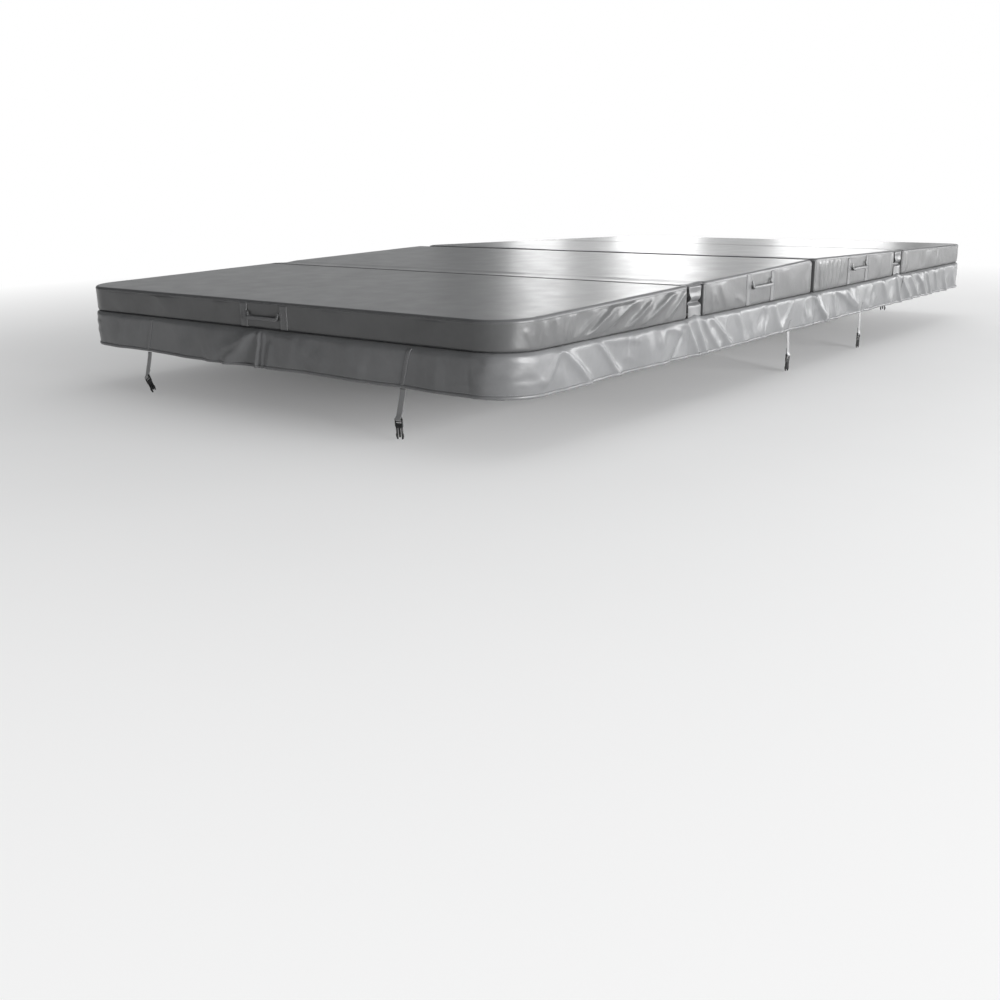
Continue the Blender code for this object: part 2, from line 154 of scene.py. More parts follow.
SKIRT_FRONT = [
    (-0.070, -0.024, -0.290, -0.132, 0.020, 0.0120),
    (-0.016, -0.010, -0.190, -0.137, 0.018, 0.0200),
    (0.006, -0.003, -0.020, -0.137, 0.005, 0.0130),
    (0.027, -0.003, 0.013, -0.137, 0.004, 0.0070),
    (0.060, -0.057, 0.041, -0.132, 0.010, 0.0070),
    (0.121, -0.007, 0.309, -0.096, 0.035, 0.0060),
    (0.790, -0.035, 0.496, -0.121, 0.060, 0.0090),
    (0.180, -0.037, 0.133, -0.137, 0.040, 0.0080),
    (-0.277, -0.043, -0.439, -0.128, 0.055, 0.0080),
    (-0.834, -0.031, -0.889, -0.129, 0.040, 0.0070),
    (0.973, -0.044, 0.913, -0.125, 0.055, 0.0060),
    (1.000, -0.030, 1.210, -0.025, 0.006, 0.0007),
    (1.050, -0.047, 1.190, -0.041, 0.006, 0.0004),
    (0.990, -0.066, 1.215, -0.060, 0.007, 0.0005),
    (0.930, -0.108, 1.220, -0.094, 0.010, 0.0010),
    (-1.220, -0.040, -1.030, -0.046, 0.008, 0.0030),
    (-1.220, -0.075, -1.030, -0.082, 0.008, 0.0030),
]
WALL_RIGHT = [
    (-1.582, 0.106, -1.778, 0.002, 0.016, 0.0090),
    (-1.472, 0.102, -1.705, 0.004, 0.015, 0.0080),
    (-1.375, 0.083, -1.533, 0.006, 0.013, 0.0065),
    (-1.219, 0.106, -1.414, 0.015, 0.016, 0.0095),
    (-1.142, 0.093, -1.248, 0.017, 0.012, 0.0065),
    (-1.653, 0.098, -1.820, 0.015, 0.010, 0.003),
    (-1.857, 0.090, -1.875, 0.004, 0.008, 0.0035),
    (-1.826, 0.085, -1.846, 0.004, 0.008, 0.003),
    (-2.062, 0.060, -2.044, 0.013, 0.006, 0.0013),
    (-2.029, 0.050, -2.020, 0.013, 0.005, 0.0008),
    (-1.986, 0.077, -2.009, 0.006, 0.008, 0.0012),
    (-1.925, 0.082, -1.924, 0.015, 0.020, 0.002),
    (-1.122, 0.110, -1.130, 0.008, 0.006, 0.003),
    (-0.928, 0.097, -0.912, 0.014, 0.012, 0.002),
    (-0.852, 0.089, -0.805, 0.008, 0.020, 0.0025),
    (-0.702, 0.035, -0.620, 0.002, 0.014, 0.002),
    (-0.273, 0.107, -0.212, 0.025, 0.035, 0.0015),
    (-0.029, 0.127, -0.039, 0.009, 0.010, 0.0025),
    (0.066, 0.129, 0.082, 0.004, 0.008, 0.0035),
    (0.113, 0.129, 0.125, 0.004, 0.008, 0.0025),
    (0.153, 0.125, 0.165, 0.006, 0.008, 0.002),
    (0.199, 0.127, 0.201, 0.006, 0.009, 0.0025),
    (0.249, 0.125, 0.242, 0.006, 0.009, 0.002),
    (0.296, 0.123, 0.284, 0.010, 0.010, 0.003),
    (0.796, 0.106, 0.816, 0.014, 0.020, 0.002),
    (0.966, 0.111, 0.961, 0.010, 0.012, 0.003),
    (1.001, 0.111, 1.005, 0.008, 0.008, 0.003),
    (1.175, 0.105, 1.184, 0.008, 0.010, 0.002),
    (1.531, 0.085, 1.590, 0.014, 0.040, 0.0015),
]
WALL_FRONT = [
    (-0.617, 0.084, -0.539, 0.030, 0.040, 0.002),
    (-0.808, 0.068, -0.854, 0.014, 0.030, 0.0015),
    (-0.231, 0.081, -0.268, 0.016, 0.030, 0.0015),
    (0.356, 0.089, 0.396, 0.024, 0.045, 0.0015),
    (0.852, 0.087, 0.812, 0.026, 0.045, 0.0015),
]


def across(creases, scale):
    """The same creases seen on the opposite wall."""
    return [(-a * scale, za, -b * scale, zb, w, h) for a, za, b, zb, w, h in creases]


def crease_height(creases, along, z, spread, seed, softness):
    """How far the creases push out each point. spread widens a crease towards its foot."""
    rng = np.random.default_rng(seed)
    bend = waves(seed + 1, along, z * 1.4, (0.15, 0.08), 0.0045 * softness)
    out = np.zeros(np.broadcast(along, z).shape)
    for a0, z0, a1, z1, half, height in creases:
        skew, plump = rng.uniform(-0.55, 0.55), rng.uniform(1.0, 1.7)
        da, dz = a1 - a0, z1 - z0
        long = math.hypot(da, dz)
        t = ((along - a0) * da + (z - z0) * dz) / long ** 2
        side = ((along - a0) * dz - (z - z0) * da) / long + bend
        past = np.maximum(np.maximum(-t, t - 1), 0) * long
        wide = half * plump * (1 + spread * (np.clip(t, 0, 1) - 0.4)) * (1 + skew * np.sign(side))
        round_off = np.sqrt((side / wide) ** 2 + softness) - math.sqrt(softness)
        shape = np.exp(-1.8 * round_off - (past / (1.8 * half)) ** 2)
        out += height * (1 + spread * (np.clip(t, 0, 1) - 0.5)) * shape
    return out


def scattered(seed, count, low, high, z_low, z_high, lean, half, height):
    """Small creases in random places between the large ones."""
    rng = np.random.default_rng(seed)
    out = []
    for _ in range(count):
        a, z, angle = rng.uniform(low, high), rng.uniform(z_low, z_high), rng.normal(0, lean)
        long = rng.uniform(0.25, 0.7) * (z_high - z_low)
        da, dz = math.sin(angle) * long, math.cos(angle) * long
        tall = height * rng.uniform(0.35, 1.0) * rng.choice([1.0, 1.0, -0.7])
        out.append((a - da / 2, z + dz / 2, a + da / 2, z - dz / 2, half * rng.uniform(0.6, 1.6), tall))
    return out


def waves(seed, u, v, lengths, height):
    """Smooth low waves, the same ones each run."""
    rng = np.random.default_rng(seed)
    out = 0.0
    for length in lengths:
        a, phase, share = rng.uniform(0, 2 * math.pi, 3)
        k = 2 * math.pi / length
        lift = height * length / max(lengths) * (0.6 + 0.4 * math.sin(share))
        out = out + lift * np.sin(k * (u * math.cos(a) + v * math.sin(a)) + phase)
    return out


SKIRT_SMALL = scattered(61, 80, -2.2, 2.2, -0.135, -0.004, 0.8, 0.015, 0.0042)
FRONT_SMALL = scattered(62, 26, -1.1, 1.1, -0.130, -0.010, 0.9, 0.022, 0.0030)
WALL_SMALL = scattered(63, 46, -2.1, 2.1, 0.010, 0.125, 0.35, 0.012, 0.0013)
WALLS = {
    "skirt": {"right": SKIRT_RIGHT + SKIRT_SMALL, "left": across(SKIRT_RIGHT + SKIRT_SMALL, 0.985),
              "near": SKIRT_FRONT + FRONT_SMALL, "far": across(SKIRT_FRONT + FRONT_SMALL, 0.97)},
    "wall": {"right": WALL_RIGHT + WALL_SMALL, "left": across(WALL_RIGHT + WALL_SMALL, 0.985),
             "near": WALL_FRONT, "far": across(WALL_FRONT, 0.97)},
}


# ---------------------------------------------------------------- outlines seen from above


class Path:
    """A line round a panel, with outward directions. Going along it, the outside is on the right."""

    def __init__(self):
        self.xy, self.out, self.kind = [], [], []

    def straight(self, p, q, step, kind):
        count = max(1, round(math.dist(p, q) / step))
        dx, dy = (q[0] - p[0]) / math.dist(p, q), (q[1] - p[1]) / math.dist(p, q)
        for i in range(count):
            f = i / count
            self.add((p[0] + f * (q[0] - p[0]), p[1] + f * (q[1] - p[1])), (dy, -dx), kind)
        return self

    def turn(self, centre, radius, start_deg, step, kind):
        count = max(2, round(radius * math.pi / 2 / step))
        for i in range(count):
            a = math.radians(start_deg + 90 * i / count)
            n = (math.cos(a), math.sin(a))
            self.add((centre[0] + radius * n[0], centre[1] + radius * n[1]), n, kind)
        return self

    def add(self, point, normal, kind):
        self.xy.append(point)
        self.out.append(normal)
        self.kind.append(kind)

    def done(self):
        self.xy, self.out = np.array(self.xy), np.array(self.out)
        steps = np.linalg.norm(np.diff(self.xy, axis=0), axis=1)
        self.s = np.concatenate([[0], np.cumsum(steps)])
        self.kind = np.array(self.kind)
        return self

    def unrolled(self, wall):
        """The wall's own coordinate, carried on round the big corners, and where it counts."""
        kinds = {"right": ("right", "end_right"), "left": ("left", "left_end"),
                 "end": ("end", "left_end", "end_right")}[wall]
        on = np.isin(self.kind, kinds)
        if not on.any() or wall not in self.kind:
            return self.s * 0, on * 0.0
        first = int(np.argmax(self.kind == wall))
        axis, sign = {"right": (1, 1), "left": (1, -1), "end": (0, 1)}[wall]
        return self.xy[first, axis] + sign * (self.s - self.s[first]), on * 1.0


def panel_outline(panel, inset=0.0, fine=0.005):
    y0, y1 = SPANS[panel]
    y0, y1, w, r = y0 + inset, y1 - inset, HALF_W - inset, SQUARE_R - inset * 0.5
    big = CORNER_R - inset if panel == "outer" else r
    end_step, coarse = (1.6 * fine, 0.03) if panel == "outer" else (0.03, 0.03)
    turn_kinds = ("left_end", "end_right") if panel == "outer" else ("square", "square")
    path = Path()
    path.straight((0.0005, y1), (-w + r, y1), coarse, "hidden").turn((-w + r, y1 - r), r, 90, 0.004, "square")
    path.straight((-w, y1 - r), (-w, y0 + big), fine, "left")
    path.turn((-w + big, y0 + big), big, 180, 0.005 if big > 0.05 else 0.004, turn_kinds[0])
    path.straight((-w + big, y0), (w - big, y0), end_step, "end" if panel == "outer" else "hidden")
    path.turn((w - big, y0 + big), big, 270, 0.005 if big > 0.05 else 0.004, turn_kinds[1])
    path.straight((w, y0 + big), (w, y1 - r), fine, "right").turn((w - r, y1 - r), r, 0, 0.004, "square")
    path.straight((w - r, y1), (0.0, y1), coarse, "hidden")
    path.add((0.0, y1), (0, 1), "hidden")
    return path.done()


def calm(path, wall, along, width):
    """Near 1 along the path, and low beside one place on a wall, where something holds the cloth."""
    first = int(np.argmax(path.kind == wall))
    where = path.s[first] + abs(along - path.xy[first, 0 if wall == "end" else 1])
    return 1 - 0.85 * np.exp(-((path.s - where) / width) ** 2)


def displacement(path, label, sort, z, spread, seed, softness):
    """Wrinkles of the walls that the path runs along. z is a grid of heights, one column per point."""
    total = np.zeros(z.shape)
    for wall in ("right", "left", "end"):
        along, on = path.unrolled(wall)
        if not on.any():
            continue
        if label == "a":
            world = {"right": "right", "left": "left", "end": "near"}[wall]
        else:
            world, along = {"right": "left", "left": "right", "end": "far"}[wall], -along
        total += on * crease_height(WALLS[sort][world], along[None, :] + 0 * z, z, spread, seed, softness)
    return total


# ---------------------------------------------------------------- meshes


def grid_faces(rows, columns, closed=False):
    index = np.arange(rows * columns).reshape(rows, columns)
    if closed:
        index = np.concatenate([index, index[:, :1]], axis=1)
    quads = [index[:-1, :-1], index[:-1, 1:], index[1:, 1:], index[1:, :-1]]
    return np.stack(quads, axis=-1).reshape(-1, 4)


def new_object(name, points, faces, material, label="a"):
    mesh = bpy.data.meshes.new(name)
    spun = np.asarray(points, float).reshape(-1, 3) * (SIGN[label], SIGN[label], 1.0)
    mesh.from_pydata(spun.tolist(), [], [list(f) for f in faces])
    mesh.materials.append(material)
    mesh.shade_smooth()
    mesh.update()
    obj = bpy.data.objects.new(name, mesh)
    bpy.context.scene.collection.objects.link(obj)
    return obj


def thicken(obj, thickness):
    """Gives a surface its thickness, on the inner side."""
    modifier = obj.modifiers.new("thickness", "SOLIDIFY")
    modifier.thickness, modifier.offset = thickness, -1.0
    modifier.use_even_offset = False
    return obj


def grid_object(name, grid, material, label, thickness):
    rows, columns = grid.shape[:2]
    return thicken(new_object(name, grid, grid_faces(rows, columns), material, label), thickness)


def unit(v):
    return v / np.maximum(np.linalg.norm(v, axis=-1, keepdims=True), 1e-12)


def grid_normals(grid):
    return unit(np.cross(np.gradient(grid, axis=1), np.gradient(grid, axis=0)))


def tube_parts(centre, a, b, sides, power=1.0):
    """Points and faces of a closed tube whose section has the half axes a and b at each centre."""
    angle = np.arange(sides) * 2 * math.pi / sides
    c = np.sign(np.cos(angle)) * np.abs(np.cos(angle)) ** power
    s = np.sign(np.sin(angle)) * np.abs(np.sin(angle)) ** power
    rings = centre[:, None] + a[:, None] * c[None, :, None] + b[:, None] * s[None, :, None]
    faces = [list(f) for f in grid_faces(len(centre), sides, closed=True)]
    last = (len(centre) - 1) * sides
    faces += [list(range(sides))[::-1], [last + i for i in range(sides)]]
    return rings.reshape(-1, 3), faces


def merged(parts):
    """One set of points and faces from several."""
    points, faces, base = [], [], 0
    for p, f in parts:
        points.append(p)
        faces += [[i + base for i in face] for face in f]
        base += len(p)
    return np.concatenate(points), faces


def stitch_parts(line, normals):
    """A row of stitches along a line of points."""
    line, normals = np.asarray(line, float), np.asarray(normals, float)
    s = np.concatenate([[0], np.cumsum(np.linalg.norm(np.diff(line, axis=0), axis=1))])
    starts = np.arange(0.002, s[-1] - STITCH - 0.001, STITCH_STEP)
    if not len(starts):
        return np.zeros((0, 3)), []

    def at(where, values):
        return np.stack([np.interp(where, s, values[:, k]) for k in range(3)], axis=1)

    head, foot, middle = at(starts, line), at(starts + STITCH, line), at(starts + STITCH / 2, line)
    normal = unit(at(starts + STITCH / 2, normals))
    side = unit(np.cross(foot - head, normal)) * STITCH_WIDTH / 2
    rise = normal * STITCH_RISE
    points = np.stack([head - rise * 0.3, foot - rise * 0.3, middle + side, middle - side,
                       middle + rise, middle - rise * 0.6], axis=1)
    pattern = [(0, 2, 4), (0, 4, 3), (0, 3, 5), (0, 5, 2), (1, 4, 2), (1, 3, 4), (1, 5, 3), (1, 2, 5)]
    faces = [[i * 6 + k for k in f] for i in range(len(starts)) for f in pattern]
    return points.reshape(-1, 3), faces


# ---------------------------------------------------------------- materials


class Nodes:
    def __init__(self, name):
        self.material = bpy.data.materials.new(name)
        self.material.use_nodes = True
        self.tree = self.material.node_tree
        self.shader = self.tree.nodes["Principled BSDF"]
        self.place = self.tree.nodes.new("ShaderNodeTexCoord").outputs["Object"]

    def add(self, kind, inputs=(), **settings):
        node = self.tree.nodes.new(kind)
        for key, value in settings.items():
            setattr(node, key, value)
        for key, value in dict(inputs).items():
            if isinstance(value, bpy.types.NodeSocket):
                self.tree.links.new(value, node.inputs[key])
            else:
                node.inputs[key].default_value = value
        return node

    def scaled(self, x, y, z):
        return self.add("ShaderNodeMapping", {"Vector": self.place, "Scale": (x, y, z)}).outputs[0]

    def noise(self, scale, detail=3.0, vector=None, rough=0.5):
        vector = self.place if vector is None else vector
        return self.add("ShaderNodeTexNoise", {"Vector": vector, "Scale": scale, "Detail": detail,
                                               "Roughness": rough}).outputs["Fac"]

    def span(self, value, low, high, to_low, to_high):
        return self.add("ShaderNodeMapRange", {"Value": value, "From Min": low, "From Max": high,
                                               "To Min": to_low, "To Max": to_high}).outputs[0]

    def tint(self, colour, value):
        """The colour, made lighter or darker by the value."""
        shade = self.add("ShaderNodeMix", {"Factor": 1.0}, data_type="RGBA", blend_type="MULTIPLY")
        self.tree.links.new(value, shade.inputs[7])
        shade.inputs[6].default_value = (*colour, 1.0)
        return shade.outputs[2]

    def bump(self, height, strength, distance, under=None):
        inputs = {"Height": height, "Strength": strength, "Distance": distance}
        if under is not None:
            inputs["Normal"] = under
        return self.add("ShaderNodeBump", inputs).outputs[0]

    def link(self, value, name):
        self.tree.links.new(value, self.shader.inputs[name])

    def set(self, **values):
        for name, value in values.items():
            self.shader.inputs[name.replace("_", " ")].default_value = value


def vinyl(name, colour, rough, creases, streaks=0.0, uneven=1.0):
    """Marine vinyl: a fine leather grain, soft creases, uneven gloss and a little dust."""
    n = Nodes(name)
    cloudy = n.noise(2.2, 4.0)
    dust = n.noise(38.0, 3.0)
    shade = n.add("ShaderNodeMath", {0: n.span(cloudy, 0.3, 0.7, 1 - 0.10 * uneven, 1 + 0.08 * uneven),
                                     1: n.span(dust, 0.35, 0.75, 0.98, 1.05)}, operation="MULTIPLY")
    n.link(n.tint(colour, shade.outputs[0]), "Base Color")
    n.link(n.span(n.noise(11.0, 4.0), 0.3, 0.7, rough - 0.05 * uneven, rough + 0.07 * uneven), "Roughness")
    cells = n.add("ShaderNodeTexVoronoi", {"Vector": n.place, "Scale": 900.0}, feature="SMOOTH_F1")
    normal = n.bump(cells.outputs["Distance"], 0.125, 0.0004)
    normal = n.bump(n.noise(16.0, 3.0), creases, 0.0030, normal)
    if streaks:
        normal = n.bump(n.noise(4.0, 3.0, n.scaled(0.35, 9.0, 1.0)), streaks, 0.0016, normal)
    n.link(normal, "Normal")
    return n.material


def plastic(name, colour, rough):
    n = Nodes(name)
    n.link(n.tint(colour, n.span(n.noise(60.0), 0.3, 0.7, 0.8, 1.25)), "Base Color")
    n.link(n.span(n.noise(90.0, 4.0), 0.3, 0.7, rough - 0.06, rough + 0.10), "Roughness")
    n.link(n.bump(n.noise(260.0, 4.0), 0.25, 0.0003), "Normal")
    return n.material


def thread(name, colour):
    n = Nodes(name)
    twist = n.add("ShaderNodeTexWave", {"Vector": n.place, "Scale": 900.0, "Distortion": 1.5})
    n.link(n.tint(colour, n.span(twist.outputs["Fac"], 0.0, 1.0, 0.75, 1.15)), "Base Color")
    n.link(n.bump(twist.outputs["Fac"], 0.4, 0.0002), "Normal")
    n.set(Roughness=0.6)
    return n.material


def foam(name):
    n = Nodes(name)
    beads = n.add("ShaderNodeTexVoronoi", {"Vector": n.place, "Scale": 260.0})
    n.link(n.tint((0.82, 0.82, 0.80), n.span(beads.outputs["Distance"], 0.0, 0.8, 1.0, 0.82)), "Base Color")
    n.link(n.bump(beads.outputs["Distance"], -0.5, 0.0010), "Normal")
    n.set(Roughness=0.85)
    return n.material


def steel(name):
    n = Nodes(name)
    spangle = n.add("ShaderNodeTexVoronoi", {"Vector": n.place, "Scale": 90.0}).outputs["Color"]
    grey = n.add("ShaderNodeRGBToBW", {"Color": spangle}).outputs[0]
    n.link(n.tint((0.62, 0.63, 0.64), n.span(grey, 0.0, 1.0, 0.80, 1.08)), "Base Color")
    n.link(n.span(grey, 0.0, 1.0, 0.28, 0.46), "Roughness")
    n.set(Metallic=1.0)
    return n.material


def tape(name):
    """Woven zip tape with the two rows of coil down its middle."""
    n = Nodes(name)
    weave = n.add("ShaderNodeTexWave", {"Vector": n.place, "Scale": 420.0}, bands_direction="DIAGONAL")
    coil = n.add("ShaderNodeTexWave", {"Vector": n.place, "Scale": 160.0}, bands_direction="X")
    n.link(n.tint((0.022, 0.022, 0.023), n.span(weave.outputs["Fac"], 0, 1, 0.7, 1.4)), "Base Color")
    normal = n.bump(weave.outputs["Fac"], 0.5, 0.0002)
    n.link(n.bump(coil.outputs["Fac"], 0.35, 0.0008, normal), "Normal")
    n.set(Roughness=0.75)
    return n.material


GREY = (0.088, 0.089, 0.091)
# The side walls are the top's vinyl made darker than GREY: painted shade, so the walls render darker than the
# top under the same lamps.
SHADED_WALL_GREY = (0.074, 0.075, 0.076)
SKIRT_GREY = (0.130, 0.132, 0.135)
M = {
    "jacket_vinyl": vinyl("jacket_vinyl_look", GREY, 0.33, creases=0.08, streaks=0.06, uneven=0.4),
    "shaded_wall_vinyl": vinyl("wall_vinyl_look", SHADED_WALL_GREY, 0.33, creases=0.40),
    "skirt_vinyl": vinyl("skirt_vinyl_look", SKIRT_GREY, 0.37, creases=0.45),
    "hinge_vinyl": vinyl("hinge_vinyl_look", GREY, 0.33, creases=0.08, streaks=0.06, uneven=0.4),
    # The handle vinyl is lighter than the wall's: a painted highlight standing for the light caught by the
    # bands' raised edges.
    "handle_vinyl": vinyl("handle_vinyl_highlight_look", (0.108, 0.109, 0.111), 0.40, creases=0.25),
    "strap_vinyl": vinyl("strap_vinyl_look", (0.23, 0.232, 0.235), 0.42, creases=0.25),
    "liner_vinyl": vinyl("liner_vinyl_look", (0.085, 0.085, 0.09), 0.50, creases=0.6),
    "seal_vinyl": vinyl("seal_vinyl_look", (0.085, 0.085, 0.09), 0.50, creases=0.6),
    "foam": foam("foam_look"),
    "galvanised_steel": steel("galvanised_steel_look"),
    "clip_plastic": plastic("clip_plastic_look", (0.006, 0.006, 0.0065), 0.50),
    "zip_tape": tape("zip_tape_look"),
    "zip_slider": plastic("zip_slider_look", (0.03, 0.03, 0.03), 0.35),
    # The thread is lighter than the vinyl: partly its own colour, partly a painted highlight along the seams.
    "thread": thread("thread_and_highlight_look", (0.26, 0.26, 0.265)),
}


def body_of_panel(label, panel):
    return f"cover_{label}_{panel}"


def on_body(obj, body, slot, *replaced):
    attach(obj, body)
    if replaced:
        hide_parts(*replaced)
    return obj


# ---------------------------------------------------------------- panels


def lid_grid(panel):
    """The top sheet's points, inside the rounded edge, row by row from the fold side."""
    y0, y1 = SPANS[panel]
    y0, y1 = y0 + EDGE_R, y1 - 0.004
    big = CORNER_R - EDGE_R if panel == "outer" else 0.004
    ys = np.linspace(y1, y0 + big, 66)
    angles = np.linspace(0, math.pi / 2, 22 if panel == "outer" else 4)[1:]
    ys = np.concatenate([ys, y0 + big - big * np.sin(angles)])
    halves = np.full(len(ys), HALF_W - EDGE_R)
    halves[66:] = HALF_W - EDGE_R - big * (1 - np.cos(angles))
    share = np.linspace(-1, 1, 141)
    x = share[None, :] * halves[:, None]
    y = np.repeat(ys[:, None], len(share), axis=1)
    normals = np.zeros((len(ys), 2))
    normals[:, 0] = 1.0
    normals[66:] = np.stack([np.cos(angles), -np.sin(angles)], axis=1)
    return x, y, normals


def add_lid(label, panel):
    """The top sheet: over the foam, round its edges, and down to the seam."""
    x, y, side = lid_grid(panel)
    rows, columns = x.shape
    sx, sy = x * SIGN[label], y * SIGN[label]
    z = top_z(y) + top_ripple(sx, sy)
    z += waves(12, sx * 0.25, sy, (0.30, 0.17, 0.09), 0.00007) - 0.0004
    if panel == "inner":
        z -= edge_sag(label, y)
    grid = np.stack([x, y, z], axis=-1)
    index = np.arange(rows * columns).reshape(rows, columns)
    flip = np.array([-1.0, 1.0])
    loop = np.concatenate([index[:, 0], index[-1, 1:-1], index[::-1, -1], index[0, -2:0:-1]])
    ends = np.repeat([[0.0, -1.0]], columns - 2, axis=0)
    out = np.concatenate([side * flip, ends, side[::-1], -ends])
    points = [grid.reshape(-1, 3)]
    rim = points[0][loop]
    fold_side = np.arange(len(loop)) >= len(loop) - (columns - 2)
    radius = np.where(fold_side, 0.004, EDGE_R)
    faces = [list(f[::-1]) for f in grid_faces(rows, columns)]
    previous, total = loop, rows * columns
    section = [(math.sin(a), 1 - math.cos(a)) for a in np.radians([22, 45, 68, 90])]
    for k, (reach, drop) in enumerate(section + [(1.05, 0), (1.07, 0), (1.0, 0), (0.86, 0)]):
        down = radius * drop if k < 4 else (0.0105, LIP - 0.0006, LIP + 0.0002, LIP - 0.0002)[k - 4]
        if k == 4:
            down = np.maximum(radius + 0.001, 0.0105)
        ring = rim + np.c_[out * (radius * reach)[:, None], -np.broadcast_to(down, len(loop))]
        points.append(ring)
        current = np.arange(total, total + len(loop))
        total += len(loop)
        following = np.roll(previous, -1), np.roll(current, -1)
        faces += np.stack([previous, current, following[1], following[0]], axis=-1).tolist()
        previous = current
    lid = new_object(f"jacket_top_{label}_{panel}", np.concatenate(points), faces, M["jacket_vinyl"], label)
    thicken(lid, 0.0011)
    on_body(lid, body_of_panel(label, panel), "jacket_vinyl", f"jacket_{label}_{panel}")
    seam = points[6][: len(loop)].copy()
    seam[:, 2] += 0.0042
    return np.concatenate([seam, seam[:1]]), np.c_[out, np.zeros(len(out))][list(range(len(out))) + [0]]


def add_band(label, panel):
    """The side wall sewn under the top sheet, with its wrinkles over the foam's edge."""
    path = panel_outline(panel)
    top = top_z(path.xy[:, 1]) - LIP + 0.0030
    if panel == "inner":
        top = top - edge_sag(label, path.xy[:, 1])
    share = np.linspace(0, 1, 22)[:, None]
    z = WALL_FOOT + share * (top[None, :] - WALL_FOOT)
    edge = np.sin(np.pi * np.clip(share, 0, 1)) ** 0.45
    push = displacement(path, label, "wall", z, 0.0, 3, 0.35) * (0.15 + 0.85 * edge) * 1.15
    push += waves(21, path.s[None, :], z * 2, (0.5, 0.31, 0.17), 0.0009) * edge
    for wall in ("right", "left", "end"):
        if wall in path.kind and (wall == "end") == (panel == "outer"):
            push = push * calm(path, wall, handle_place(label, wall)[0], 0.15)
    push = np.maximum(push, -0.0008)
    push[-2:] = np.minimum(push[-2:], 0.0)
    rows = [(-0.0140, 0.0003), (-0.0080, 0.0006), (-0.0045, 0.0023), (-0.0019, 0.0050), (-0.0005, 0.0085)]
    levels = np.concatenate([np.repeat([[r[1]] for r in rows], len(path.s), axis=1), z])
    offset = np.concatenate([np.repeat([[r[0]] for r in rows], len(path.s), axis=1) + push[0] * 0.6, push])
    grid = np.concatenate([path.xy + path.out * o[:, None] for o in offset]).reshape(len(levels), -1, 2)
    grid = np.concatenate([grid, levels[..., None]], axis=-1)
    # The wall takes the darker copy of the jacket vinyl, which is painted shade.
    band = grid_object(f"jacket_wall_{label}_{panel}", grid, M["shaded_wall_vinyl"], label, 0.0010)
    on_body(band, body_of_panel(label, panel), "jacket_vinyl", f"jacket_{label}_{panel}")


def add_foam(label, panel):
    """The foam board inside the jacket, its lower edges rounded as the jacket's foot is."""
    path = panel_outline(panel, 0.0030, 0.03)
    levels = [(0.0150, 0.0015), (0.0070, 0.0022), (0.0030, 0.0050), (0.0006, 0.0100), (0.0, 0.0150)]
    rings = [np.c_[path.xy - path.out * inset, np.full(len(path.s), z)] for inset, z in levels]
    for inset, drop in ((0.0, 0.0130), (0.0022, 0.0060), (0.0080, 0.0016), (0.0180, 0.0)):
        xy = path.xy - path.out * inset
        top = top_z(xy[:, 1]) - 0.0035 - (1.15 * edge_sag(label, xy[:, 1]) if panel == "inner" else 0)
        rings.append(np.c_[xy, top - drop])
    grid = np.stack(rings)
    rows, columns = grid.shape[:2]
    faces = [list(f) for f in grid_faces(rows, columns, closed=True)]
    faces += [list(range(columns))[::-1], [(rows - 1) * columns + i for i in range(columns)]]
    board = new_object(f"foam_board_{label}_{panel}", grid, faces, M["foam"], label)
    on_body(board, body_of_panel(label, panel), "foam", f"foam_core_{label}_{panel}")


def add_liner(label, panel):
    """The underside sheet, a little slack under the foam."""
    x, y, _ = lid_grid(panel)
    grow = (HALF_W - 0.0120) / (HALF_W - EDGE_R)
    x = x * grow
    z = waves(31, x, y * 1.5, (0.6, 0.33, 0.2), 0.0005) - 0.0002
    grid = np.stack([x, y, z], axis=-1)
    liner = grid_object(f"liner_sheet_{label}_{panel}", grid, M["liner_vinyl"], label, 0.0010)
    on_body(liner, body_of_panel(label, panel), "liner_vinyl", f"liner_{label}_{panel}")


def stitched(name, lines, body, slot, label="a"):
    points, faces = merged([stitch_parts(line, normal) for line, normal in lines])
    row = new_object(name, points, faces, M["thread"], label)
    return on_body(row, body, slot)


# ---------------------------------------------------------------- skirts

SKIRT_RISE, SKIRT_ROWS = 0.0006, 26


def skirt_offset(depth):
    """How far the skirt stands out: it bulges under the slab's edge, then hangs."""
    return -0.0030 + 0.0105 * (1 - np.exp(-(depth / 0.0060) ** 1.3)) - 0.0030 * (depth / -HEM_Z) ** 2


def skirt_grid(path, label, extra, lift):
    depth = np.linspace(1, 0, SKIRT_ROWS)[:, None] ** 1.15 * (-HEM_Z - SKIRT_RISE)
    z = -SKIRT_RISE - depth + 0 * path.s[None, :]
    share = depth / -HEM_Z
    push = displacement(path, label, "skirt", z, 0.55, 5, 0.8)
    push += waves(41, path.s[None, :], z, (0.9, 0.5, 0.27, 0.15), 0.0024) * share
    still = np.ones(len(path.s))
    for spot, wall, _ in STRAPS:
        if wall in path.kind:
            still = still * calm(path, wall, strap_place(label, spot, wall), 0.045)
    push = push * (1 - (1 - still) * share)
    ease = 1 - np.exp(-(depth / 0.010) ** 1.3)
    offset = skirt_offset(depth) + push * ease + extra
    world = SIGN[label]
    z = z + waves(43, path.s[None, :], 0 * z, (0.8, 0.45, 0.21), 0.0022) * share ** 2 * world * still
    z = z + 0.0020 * (1 - still) * share ** 2
    if lift is not None:
        z = z + lift[None, :] * (1 - share) ** 2
    flange = np.full((1, len(path.s)), -0.0220)
    offset = np.concatenate([offset, flange])
    z = np.concatenate([z, z[-1:] + 0.0001])
    grid = (path.xy[None] + path.out[None] * offset[..., None])
    return np.concatenate([grid, z[..., None]], axis=-1)


